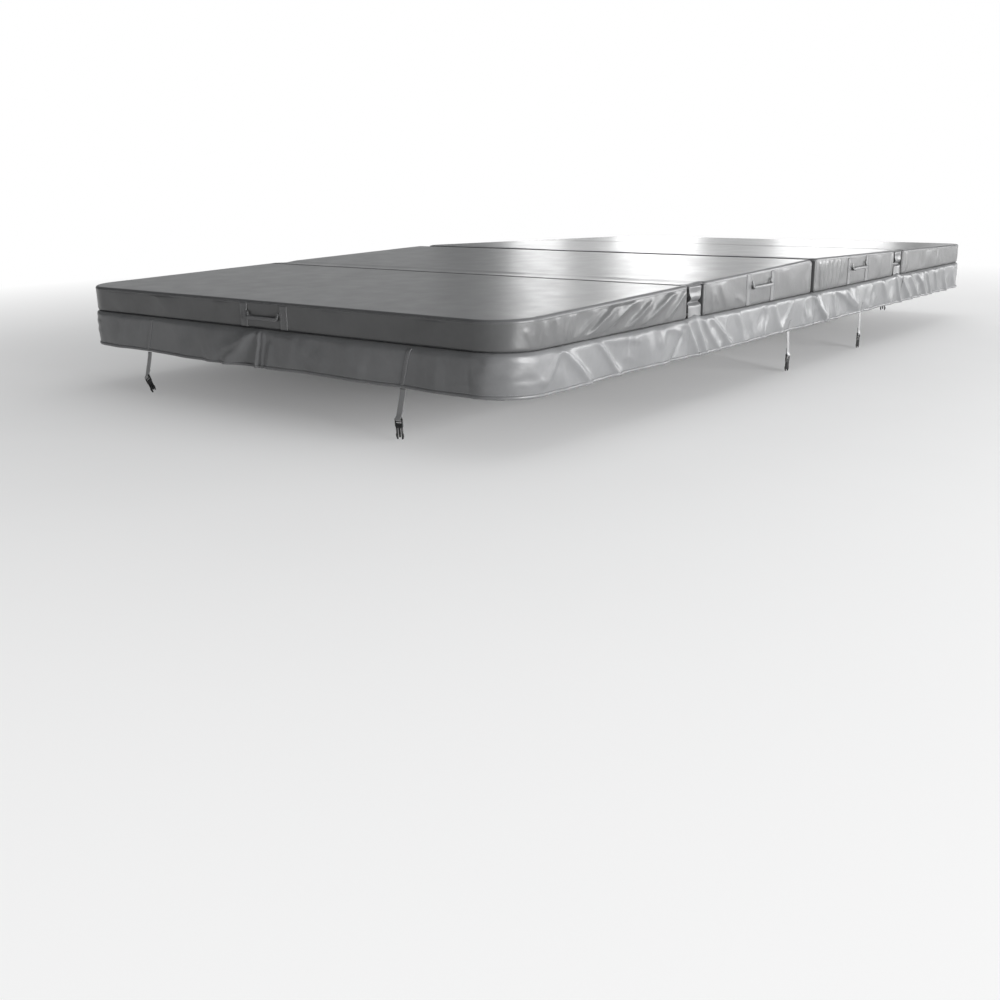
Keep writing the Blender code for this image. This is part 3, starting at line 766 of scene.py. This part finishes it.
def skirt_path(side):
    w = HALF_W
    path = Path()
    fine = 0.005
    if side == "outer":
        far = FOLD_NEAR
        path.straight((-w, far), (-w, END_Y + CORNER_R), fine, "left")
        path.turn((-w + CORNER_R, END_Y + CORNER_R), CORNER_R, 180, 0.005, "left_end")
        path.straight((-w + CORNER_R, END_Y), (w - CORNER_R, END_Y), 0.007, "end")
        path.turn((w - CORNER_R, END_Y + CORNER_R), CORNER_R, 270, 0.005, "end_right")
        path.straight((w, END_Y + CORNER_R), (w, far), fine, "right")
        path.add((w, far), (1, 0), "right")
        return path.done()
    low, high = FOLD_NEAR - 0.014, MEET_Y + 0.016
    if side == "right":
        path.straight((w, low), (w, high), fine, "right").add((w, high), (1, 0), "right")
    else:
        path.straight((-w, high), (-w, low), fine, "left").add((-w, low), (-1, 0), "left")
    return path.done()


SKIRT_SURFACE = {}


def add_skirt(label, side):
    path = skirt_path(side)
    lift, extra = None, 0.0
    if side != "outer":
        y = path.xy[:, 1]
        lift = 0.012 * np.exp(-((y - (FOLD_NEAR + FOLD_FAR) / 2) / 0.040) ** 2)
        tuck = 0.0050 * np.clip((FOLD_NEAR + 0.010 - y) / 0.020, 0, 1)
        wide = 0.0040 * np.clip((y - MEET_Y) / 0.012, 0, 1) * SIGN[label]
        extra = (wide - tuck)[None, :]
    grid = skirt_grid(path, label, extra, lift)
    SKIRT_SURFACE[label, side] = (path, grid)
    name = f"skirt_{label}_{side}"
    body = body_of_panel(label, "outer" if side == "outer" else "inner")
    skirt = grid_object(f"{name}_cloth", grid, M["skirt_vinyl"], label, 0.0012)
    on_body(skirt, body, "skirt_vinyl", name)
    normals = grid_normals(grid)
    flat_out = np.c_[path.out, np.zeros(len(path.s))]
    up = np.repeat([[0, 0, 1.0]], len(path.s), axis=0)
    hem_line = grid[0] + up * 0.0046 + flat_out * 0.0002
    hem_tube = tube_parts(hem_line, flat_out * 0.0036, up * 0.0060, 10)
    hem = new_object(f"{name}_hem", *hem_tube, M["skirt_vinyl"], label)
    on_body(hem, body, "skirt_vinyl")
    row = int(np.argmin(np.abs(grid[:, 0, 2] - (HEM_Z + 0.016))))
    seam_line = [(grid[row] + normals[row] * 0.0002, normals[row])]
    seam = stitched(f"{name}_seam", seam_line, body, "skirt_vinyl", label)


# ---------------------------------------------------------------- hinge


def add_hinge_strip(label):
    """The band over the gap: flush with the inner panel, and lapped onto the outer one."""
    ys = np.concatenate([np.linspace(FOLD_NEAR - 0.022, FOLD_NEAR - 0.0005, 8),
                         np.linspace(FOLD_NEAR + 0.0030, FOLD_FAR - 0.0030, 30),
                         np.linspace(FOLD_FAR + 0.0005, FOLD_FAR + 0.030, 9)])
    xs = np.linspace(-HALF_W + 0.006, HALF_W - 0.006, 161)
    x, y = np.meshgrid(xs, ys)
    middle = np.clip((y - FOLD_NEAR) / (FOLD_FAR - FOLD_NEAR), 0, 1)
    sag = -0.0022 * np.sin(math.pi * middle) ** 2 * (1 + waves(51, x, y, (0.6, 0.33), 0.35))
    lap = 0.0007 * (y < FOLD_NEAR + 0.001)
    fade = -0.0014 * np.clip((y - FOLD_FAR) / 0.026, 0, 1) ** 2
    spun = SIGN[label]
    z = top_z(y) + top_ripple(x * spun, y * spun) + sag + lap + fade + 0.0002
    z = z - 0.0060 * np.clip((np.abs(x) - (HALF_W - 0.013)) / 0.007, 0, 1) ** 2
    grid = np.stack([x, y, z], axis=-1)
    strip = new_object(f"hinge_strip_{label}_band", grid, grid_faces(*x.shape), M["hinge_vinyl"], label)
    thicken(strip, 0.0012)
    lines = []
    for row in (1, 4):
        line = grid[row].copy()
        line[:, 2] += 0.0003
        lines.append((line, np.repeat([[0, 0, 1.0]], len(line), axis=0)))
    seam = stitched(f"hinge_seam_{label}", lines, body_of_panel(label, "outer"), "hinge_vinyl", label)
    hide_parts(f"hinge_strip_{label}")
    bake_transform(strip)


def add_seal(label):
    """The pillow under the hinge strip, sewn in bays."""
    low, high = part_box(f"hinge_seal_{label}")
    xs = np.linspace(low.x, high.x, 150)
    bay = 0.5 + 0.5 * np.cos(xs / 0.28 * 2 * math.pi)
    end = np.minimum(1, (1 - np.abs(xs) / high.x) / 0.012 + 0.35)
    puff = (0.93 + 0.07 * bay) * end
    centre = np.stack([xs, xs * 0 + (low.y + high.y) / 2, xs * 0 + (low.z + high.z) / 2], axis=1)
    a = np.stack([xs * 0, (high.y - low.y) / 2 * puff, xs * 0], axis=1)
    b = np.stack([xs * 0, xs * 0, (high.z - low.z) / 2 * puff], axis=1)
    seal = new_object(f"hinge_seal_{label}_pillow", *tube_parts(centre, a, b, 28, 0.55), M["seal_vinyl"])
    on_body(seal, body_of_panel(label, "inner"), "seal_vinyl", f"hinge_seal_{label}")


def add_tab(label, side):
    """The flap over one end of the gap, pinched in at the middle of its height."""
    node = f"hinge_tab_{label}_{side}"
    low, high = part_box(node)
    out = 1.0 if high.x > 0 else -1.0
    face = max(abs(low.x), abs(high.x))
    t = np.linspace(0, 1, 34)[:, None]
    u = np.linspace(-1, 1, 27)[None, :]
    crease = np.exp(-((t - 0.46) / 0.06) ** 2)
    upper = 1 / (1 + np.exp(-(t - 0.45) / 0.016))
    waist = 1 - 0.30 * upper * np.exp(-((t - 0.50) / 0.24) ** 2) - 0.06 * (1 - upper) * t
    half = (high.y - low.y) / 2 - 0.009
    y = (low.y + high.y) / 2 + half * u * waist
    depth = 0.0015 + 0.014 * crease * (1 - 0.35 * u ** 2) + 0.004 * np.sin(math.pi * t) * (1 - u ** 2)
    depth = depth - 0.0035 * np.exp(-((t - 0.62) / 0.10) ** 2) + 0.002 * np.abs(u) ** 3
    curl = np.clip((t - 0.93) / 0.07, 0, 1) ** 2
    x = out * (face + 0.0012 - depth - 0.012 * curl)
    z = low.z + 0.002 + t * (high.z - low.z - 0.003) + 0 * u
    grid = np.stack([x + 0 * z, y + 0 * z, z], axis=-1)
    if out < 0:
        grid = grid[:, ::-1]
    tab = grid_object(f"{node}_flap", grid, M["hinge_vinyl"], "a", 0.0014)
    on_body(tab, body_of_panel(label, "inner"), "hinge_vinyl", node)
    normals = grid_normals(grid)
    edges = [(grid[2:-3, c] + normals[2:-3, c] * 0.0002, normals[2:-3, c]) for c in (2, -3)]
    seam = stitched(f"{node}_seam", edges, body_of_panel(label, "inner"), "hinge_vinyl")


# ---------------------------------------------------------------- handles

BAND_W = 0.040


def wall_frame(wall, along):
    """Origin on the wall at z = 0, the direction along it seen from outside, and outwards."""
    if wall == "end":
        return np.array([along, END_Y, 0.0]), np.array([1.0, 0, 0]), np.array([0, -1.0, 0])
    side = 1.0 if wall == "right" else -1.0
    return np.array([side * HALF_W, along, 0.0]), np.array([0, side, 0.0]), np.array([side, 0, 0.0])


def handle_place(label, wall):
    """Where along its wall a handle's middle is, and half its length."""
    low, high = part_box(f"handle_{label}_{wall}")
    axis = 0 if wall == "end" else 1
    return SIGN[label] * (low[axis] + high[axis]) / 2, (high[axis] - low[axis]) / 2


def band_parts(origin, right, out, centre, top, side, height):
    """One upright band beside a grip: turned edges, a flat middle, four rows of stitches."""
    t, u = np.meshgrid(np.linspace(0, 1, 26), np.linspace(-1, 1, 21), indexing="ij")
    z = 0.004 + t * (top - 0.004)
    rim = np.exp(-((np.abs(u) - 0.78) / 0.17) ** 2)
    rise = 0.0011 + 0.0016 * rim - 0.0005 * np.abs(u) ** 10
    rise = rise + 0.0016 * np.exp(-((z - height) / 0.012) ** 2) * (1 - side * u) / 2
    grid = origin + right * (centre + u * BAND_W / 2)[..., None] + out * rise[..., None]
    grid[..., 2] = z
    normals = grid_normals(grid)
    lines = [(grid[1:-1, c] + normals[1:-1, c] * 0.0002, normals[1:-1, c]) for c in (2, 5, 15, 18)]
    return grid, lines


def bow(half, drop, turn):
    """A grip's middle line in the plane of its wall: down, square across, and up."""
    corner = np.radians(np.linspace(180, 270, 9))
    left = [(-half, 0.0015), (-half, -0.0010), (-half, -(drop - turn) / 2)]
    left += [(-half + turn + turn * math.cos(a), turn - drop + turn * math.sin(a)) for a in corner]
    across_it = [(x, -drop) for x in np.linspace(-half + turn, half - turn, 28)[1:-1]]
    return np.array(left + across_it + [(-x, z) for x, z in reversed(left)])


def add_handle(label, wall):
    node = f"handle_{label}_{wall}"
    along, half = handle_place(label, wall)
    origin, right, out = wall_frame(wall, along)
    wall_top = top_z(END_Y if wall == "end" else along)
    height = wall_top - 0.040
    body = body_of_panel(label, "outer" if wall == "end" else "inner")
    points, faces, lines, base = [], [], [], 0
    for side in (-1, 1):
        centre, top = side * (half + 0.017), wall_top - LIP + 0.001
        grid, rows_of_stitches = band_parts(origin, right, out, centre, top, side, height)
        lines += rows_of_stitches
        points.append(grid.reshape(-1, 3))
        faces += (grid_faces(*grid.shape[:2]) + base).tolist()
        base += len(points[-1])
    bands = new_object(f"{node}_bands", np.concatenate(points), faces, M["handle_vinyl"], label)
    thicken(bands, 0.0012)
    on_body(bands, body, "handle_vinyl")
    stitched(f"{node}_seams", lines, body, "handle_vinyl", label)
    drop = 0.0210 if wall == "end" else 0.0250
    flat = bow(half - 0.0098, drop, 0.0085)
    away = np.clip(-flat[:, 1] / drop, 0, 1)
    tangent = unit(np.gradient(flat, axis=0))
    sideways = np.stack([-tangent[:, 1], tangent[:, 0]], axis=1)
    centre = origin + right * flat[:, :1] + out * (0.0050 + 0.0080 * away ** 1.5)[:, None]
    centre[:, 2] = height + flat[:, 1]
    thick, wide = 0.0020 + 0.0014 * away, 0.0056 + 0.0016 * away ** 2
    a = out[None] * thick[:, None]
    b = (right * sideways[:, :1] + UP * sideways[:, 1:]) * wide[:, None]
    grip = new_object(f"{node}_grip", *tube_parts(centre, a, b, 18, 0.70), M["handle_vinyl"], label)
    on_body(grip, node, "handle_vinyl", node)
    edge_lines = []
    for level in (0.66, -0.66):
        line = centre + b * level + out[None] * (thick * 0.90 + 0.0003)[:, None]
        edge_lines.append((line[3:-3], np.repeat([out], len(line) - 6, axis=0)))
    stitched(f"{node}_grip_seam", edge_lines, node, "handle_vinyl", label)


# ---------------------------------------------------------------- straps and clips

STRAP_W, UPPER_W = 0.025, 0.016


def strap_section(points, right, width, thickness):
    """A flat strap swept along points. right is its own sideways direction at each of them."""
    tangent = unit(np.gradient(points, axis=0))
    through = unit(np.cross(tangent, right))
    across_it = right * width / 2
    return tube_parts(points, across_it, through * thickness / 2, 14, 0.35)


def add_upper_strap(label, spot, wall, along, side, slant):
    """The strap's upper part, sewn flat to the skirt. slant is how far its head lies to the right.

    At the ends it reaches the skirt's top edge, and at the sides it is a short tail above the hem.
    """
    path, grid = SKIRT_SURFACE[label, side]
    first = int(np.argmax(path.kind == wall))
    middle = path.s[first] + abs(along - path.xy[first, 0 if wall == "end" else 1])
    u = np.linspace(-1, 1, 9)
    rows = len(grid) - 3 if wall == "end" else 8
    heights = grid[:rows, first, 2]
    share = np.clip((heights - heights[0]) / (heights[-1] - heights[0]), 0, 1)
    width = UPPER_W if wall == "end" else STRAP_W
    where = middle + slant * share[:, None] + width / 2 * u[None, :]
    patch = np.stack([[np.interp(spots, path.s, line[:, k]) for k in range(3)]
                      for spots, line in zip(where, grid)])
    patch = patch.transpose(0, 2, 1)
    normals = grid_normals(patch)
    raised = patch + normals * (0.0008 + 0.0012 * (1 - np.abs(u) ** 8))[None, :, None]
    body = body_of_panel(label, "outer" if side == "outer" else "inner")
    name = f"tie_strap_{label}_{spot}"
    upper = grid_object(f"{name}_upper", raised, M["skirt_vinyl"], label, 0.0009)
    on_body(upper, body, "strap_vinyl")
    lines = [(raised[1:-1, c] + normals[1:-1, c] * 0.0002, normals[1:-1, c]) for c in (1, 4, 7)]
    seams = stitched(f"{name}_upper_seams", lines, body, "strap_vinyl", label)


def add_strap(label, spot, wall, along, lean, tilt_deg):
    """The hanging part: one strap, doubled back through the clip and sewn to itself."""
    node = f"tie_strap_{label}_{spot}"
    low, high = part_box(node)
    origin, right, out = wall_frame(wall, along)
    eye_z, top = low.z + 0.0054, high.z
    eye = origin + out * -0.0007
    angles = np.linspace(math.radians(20), math.radians(-200), 20)
    loop_r = 0.0048
    loop = [(loop_r * math.cos(a), eye_z + loop_r * 1.15 * math.sin(a)) for a in angles]
    front = [(0.0010 + 0.0010 * math.sin(math.pi * t), top + 0.0005 + t * (eye_z + 0.010 - top))
             for t in np.linspace(0, 1, 22)]
    back = [(-0.0028, eye_z + 0.0070), (-0.0016, eye_z + 0.012), (-0.0014, eye_z + 0.020),
            (-0.0014, eye_z + 0.030)]
    route = front + loop + back
    drift = [lean * min(1.0, (top - z) / (top - eye_z)) ** 1.4 if z < top else 0.0 for _, z in route]
    line = np.array([eye + out * o + right * d + np.array([0, 0, z - eye[2]])
                     for (o, z), d in zip(route, drift)])
    turn = math.radians(tilt_deg) * np.clip(1 - (line[:, 2] - eye_z) / 0.040, 0, 1) ** 1.5
    own_right = right * np.cos(turn)[:, None] + UP * np.sin(turn)[:, None]
    points, faces = strap_section(line, own_right, STRAP_W, 0.0020)
    strap = new_object(f"{node}_band", points, faces, M["strap_vinyl"], label)
    on_body(strap, node, "strap_vinyl", node)
    lines = []
    for place in (-0.40, 0.0, 0.40):
        row = line[1:21] + own_right[1:21] * STRAP_W * place + out * 0.0012
        lines.append((row, np.repeat([out], len(row), axis=0)))
    bar = [line[19] + own_right[19] * STRAP_W * f + out * 0.0013 for f in (-0.40, 0.0, 0.40)]
    lines.append((np.array(bar), np.repeat([out], 3, axis=0)))
    stitched(f"{node}_seams", lines, node, "strap_vinyl", label)


CLIP_HALF = [(0.0160, 0.0015), (0.0172, 0.0000), (0.0172, -0.0240), (0.0140, -0.0300), (0.0140, -0.0470),
             (0.0166, -0.0505), (0.0168, -0.0570), (0.0128, -0.0675), (0.0092, -0.0680), (0.0094, -0.0300),
             (0.0036, -0.0300), (0.0034, -0.0560), (0.0014, -0.0612)]
CLIP_SLOT = [(-0.0140, -0.0015), (0.0140, -0.0015), (0.0140, -0.0080), (-0.0140, -0.0080)]
CLIP_SLOT_2 = [(-0.0135, -0.0108), (0.0135, -0.0108), (0.0135, -0.0144), (-0.0135, -0.0144)]


def plate_mesh(outlines, depth, rounding):
    curve = bpy.data.curves.new("plate", "CURVE")
    curve.dimensions, curve.fill_mode = "2D", "BOTH"
    curve.extrude, curve.bevel_depth, curve.bevel_resolution = depth / 2 - rounding, rounding, 1
    curve.offset = -rounding
    for outline in outlines:
        spline = curve.splines.new("POLY")
        spline.points.add(len(outline) - 1)
        spline.use_cyclic_u = True
        for point, (x, y) in zip(spline.points, outline):
            point.co = (x, y, 0, 1)
    obj = bpy.data.objects.new("plate", curve)
    mesh = bpy.data.meshes.new_from_object(obj)
    bpy.data.objects.remove(obj)
    points = np.array([v.co for v in mesh.vertices], float).reshape(-1, 3)
    return points, [list(p.vertices) for p in mesh.polygons]


def bar_parts(x0, x1, y, z, half_y, half_z):
    """A small rounded rib along x."""
    xs = np.linspace(x0, x1, 7)
    size = np.minimum(1, (1 - np.abs(np.linspace(-1, 1, 7))) * 6 + 0.4)
    centre = np.stack([xs, xs * 0 + y, xs * 0 + z], axis=1)
    a = np.stack([xs * 0, size * half_y, xs * 0], axis=1)
    b = np.stack([xs * 0, xs * 0, size * half_z], axis=1)
    return tube_parts(centre, a, b, 8)


def add_clip(label, spot, wall, along, lean, tilt_deg):
    node = f"strap_clip_{label}_{spot}"
    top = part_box(node)[1].z
    origin, right, out = wall_frame(wall, along)
    outline = CLIP_HALF + [(-x, y) for x, y in reversed(CLIP_HALF)]
    parts = [plate_mesh([outline, CLIP_SLOT, CLIP_SLOT_2], 0.0050, 0.0008)]
    for y in (-0.0170, -0.0195, -0.0220, -0.0245):
        for z in (0.0025, -0.0025):
            parts.append(bar_parts(-0.0125, 0.0125, y, z, 0.0007, 0.0007))
    for side in (-1, 1):
        xs, ys = np.full(7, side * 0.0118), np.linspace(-0.0330, -0.0600, 7)
        spine = np.stack([xs, ys, np.full(7, 0.0025)], axis=1)
        a, b = np.tile([0.0009, 0, 0], (7, 1)), np.tile([0, 0, 0.0007], (7, 1))
        parts.append(tube_parts(spine, a, b, 8))
    points, faces = merged(parts)
    tilt = math.radians(tilt_deg)
    x = points[:, 0] * math.cos(tilt) - points[:, 1] * math.sin(tilt)
    y = points[:, 0] * math.sin(tilt) + points[:, 1] * math.cos(tilt)
    place = origin - out * 0.0007 + right * lean + np.array([0, 0, top - 0.0015])
    spots = place + right * x[:, None] + UP * y[:, None] + out * points[:, 2:3]
    clip = new_object(f"{node}_buckle", spots, faces, M["clip_plastic"], label)
    clip.data.shade_flat()
    on_body(clip, node, "clip_plastic", node)


# ---------------------------------------------------------------- the two covers

# Each strap's place, the wall it hangs on, and the skirt that it is sewn to
STRAPS = (("end_left", "end", "outer"), ("end_right", "end", "outer"),
          ("left", "left", "left"), ("right", "right", "right"))
# How far each strap's foot has drifted along the wall, its clip's tilt in degrees, and how far
# the head of its upper part lies along the wall
STRAP_LEANS = {
    ("a", "end_left"): (-0.040, 36, 0.048), ("a", "end_right"): (-0.026, 4, 0.048),
    ("a", "right"): (0.014, -4, 0.012), ("a", "left"): (0.006, 3, -0.010),
    ("b", "left"): (0.008, -4, 0.010), ("b", "right"): (-0.008, 4, 0.014),
    ("b", "end_left"): (0.006, -3, -0.012), ("b", "end_right"): (-0.010, 4, 0.020),
}


def strap_place(label, spot, wall):
    low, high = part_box(f"tie_strap_{label}_{spot}")
    middle = (low + high) / 2 * SIGN[label]
    return middle.x if wall == "end" else middle.y


def build_cover(label):
    for panel in ("outer", "inner"):
        seam, out = add_lid(label, panel)
        add_band(label, panel)
        add_foam(label, panel)
        add_liner(label, panel)
        body = body_of_panel(label, panel)
        stitched(f"jacket_seam_{label}_{panel}", [(seam, out)], body, "jacket_vinyl", label)
    for side in ("outer", "left", "right"):
        add_skirt(label, side)
    add_hinge_strip(label)
    add_seal(label)
    for side in ("left", "right"):
        add_tab(label, side)
    for wall in ("end", "left", "right"):
        add_handle(label, wall)
    for spot, wall, side in STRAPS:
        along = strap_place(label, spot, wall)
        lean, tilt, slant = STRAP_LEANS[label, spot]
        add_upper_strap(label, spot, wall, along, side, slant)
        add_strap(label, spot, wall, along, lean, tilt)
        add_clip(label, spot, wall, along, lean, tilt)


CAD_LOOKS = {"steel_channel": "galvanised_steel", "zip_tape": "zip_tape", "zip_slider": "zip_slider"}


def finish_cad_nodes():
    """The CAD nodes that stay get their real surface."""
    for name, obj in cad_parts.items():
        if obj.hide_render:
            continue
        slot = next(look for start, look in CAD_LOOKS.items() if name.startswith(start))
        for i in range(len(obj.material_slots)):
            obj.material_slots[i].material = M[slot]


# ---------------------------------------------------------------- floor, light and camera

FLOOR_Z = CAD_BOX[0].z - 0.002
FLOOR_HALF = 60


def add_floor():
    corners = [(x * FLOOR_HALF, y * FLOOR_HALF, FLOOR_Z) for x, y in ((-1, -1), (1, -1), (1, 1), (-1, 1))]
    floor = new_object("floor", np.array(corners), [[0, 1, 2, 3]], floor_material())


def floor_material():
    """Pale paint that fades into the white background far from the cover."""
    n = Nodes("pale_floor")
    n.link(n.tint((0.80, 0.80, 0.80), n.span(n.noise(1.5), 0.3, 0.7, 0.99, 1.01)), "Base Color")
    n.set(Roughness=0.9, Specular_IOR_Level=0.2)
    far = n.add("ShaderNodeVectorMath", {0: n.place}, operation="LENGTH").outputs["Value"]
    fade = n.span(far, 1.5, 6.0, 0.08, 1.0)
    glow = n.add("ShaderNodeEmission", {"Color": (1, 1, 1, 1), "Strength": 1.0})
    mix = n.add("ShaderNodeMixShader", {0: fade})
    n.tree.links.new(n.shader.outputs[0], mix.inputs[1])
    n.tree.links.new(glow.outputs[0], mix.inputs[2])
    n.tree.links.new(mix.outputs[0], n.tree.nodes["Material Output"].inputs["Surface"])
    return n.material


def area_light(name, place, aim, width, height, power):
    light = bpy.data.lights.new(name, "AREA")
    light.shape, light.size, light.size_y, light.energy = "RECTANGLE", width, height, power
    obj = bpy.data.objects.new(name, light)
    bpy.context.scene.collection.objects.link(obj)
    obj.location = place
    obj.rotation_euler = (Vector(aim) - Vector(place)).to_track_quat("-Z", "Y").to_euler()
    obj.visible_camera = False


def add_world():
    world = bpy.data.worlds.new("studio")
    bpy.context.scene.world = world
    world.use_nodes = True
    tree = world.node_tree
    back = tree.nodes["Background"]
    back.inputs["Color"].default_value = (0.97, 0.985, 1.0, 1)
    ways = tree.nodes.new("ShaderNodeTexCoord")
    parts = tree.nodes.new("ShaderNodeSeparateXYZ")
    lift = tree.nodes.new("ShaderNodeMapRange")
    tree.links.new(ways.outputs["Generated"], parts.inputs[0])
    tree.links.new(parts.outputs["Y"], lift.inputs["Value"])
    for name, value in (("From Min", -1.0), ("From Max", 0.6), ("To Min", 0.075), ("To Max", 0.34)):
        lift.inputs[name].default_value = value
    tree.links.new(lift.outputs[0], back.inputs["Strength"])
    white = tree.nodes.new("ShaderNodeBackground")
    white.inputs["Color"].default_value = (1, 1, 1, 1)
    white.inputs["Strength"].default_value = 1.0
    mix = tree.nodes.new("ShaderNodeMixShader")
    rays = tree.nodes.new("ShaderNodeLightPath")
    tree.links.new(rays.outputs["Is Camera Ray"], mix.inputs[0])
    tree.links.new(back.outputs[0], mix.inputs[1])
    tree.links.new(white.outputs[0], mix.inputs[2])
    tree.links.new(mix.outputs[0], tree.nodes["World Output"].inputs["Surface"])


CAMERA_PLACE = (3.146, -4.674, 0.507)
CAMERA_YAW, CAMERA_PITCH, CAMERA_ROLL = -39.048, 16.420, -0.842


def add_camera():
    yaw, pitch, roll = (math.radians(v) for v in (CAMERA_YAW, CAMERA_PITCH, CAMERA_ROLL))
    ahead = Vector((math.sin(yaw) * math.cos(pitch), math.cos(yaw) * math.cos(pitch), -math.sin(pitch)))
    right = Vector((math.cos(yaw), -math.sin(yaw), 0))
    up = right.cross(ahead)
    r2 = right * math.cos(roll) + up * math.sin(roll)
    u2 = -right * math.sin(roll) + up * math.cos(roll)
    data = bpy.data.cameras.new("camera")
    data.lens, data.sensor_width = 39.33, 36.0
    data.clip_end = 200
    camera = bpy.data.objects.new("camera", data)
    bpy.context.scene.collection.objects.link(camera)
    turn = Matrix((r2, u2, -ahead)).transposed().to_4x4()
    camera.matrix_world = Matrix.Translation(CAMERA_PLACE) @ turn
    bpy.context.scene.camera = camera


def bearing(offset_deg, distance, height):
    """A place seen from the camera at an angle right of its aim."""
    heading = math.radians(CAMERA_YAW + offset_deg)
    x, y, _ = CAMERA_PLACE
    return (x + distance * math.sin(heading), y + distance * math.cos(heading), height)


def add_lights():
    aim = (0, 0, 0.1)
    area_light("key", (8.5, -0.9, 1.3), (1.1, -0.6, 0.0), 6.0, 2.4, 900)
    area_light("back_right", (6.6, 8.8, 1.2), (1.1, 0.0, 0.0), 4.5, 2.6, 400)
    area_light("rake", (12.0, -4.9, 0.9), (0.0, -2.2, -0.05), 1.6, 1.6, 620)
    for offset, width, power in ((2.2, 0.60, 18), (8.2, 1.00, 44), (16.6, 1.30, 43), (23.5, 1.2, 12)):
        area_light(f"window_{offset:.0f}", bearing(offset, 13.5, 1.7), aim, width, 3.8, power)
    area_light("wall_behind", bearing(10.0, 14.5, 2.0), aim, 5.0, 5.0, 48)
    area_light("wall_left", bearing(-14.0, 14.5, 2.0), aim, 6.0, 5.0, 30)
    area_light("top", (0.0, 1.0, 5.0), (0, 0, 0), 5.0, 5.0, 60)


build_cover("a")
build_cover("b")
finish_cad_nodes()
add_floor()
add_world()
add_camera()
add_lights()
bpy.context.scene.view_settings.view_transform = "Standard"
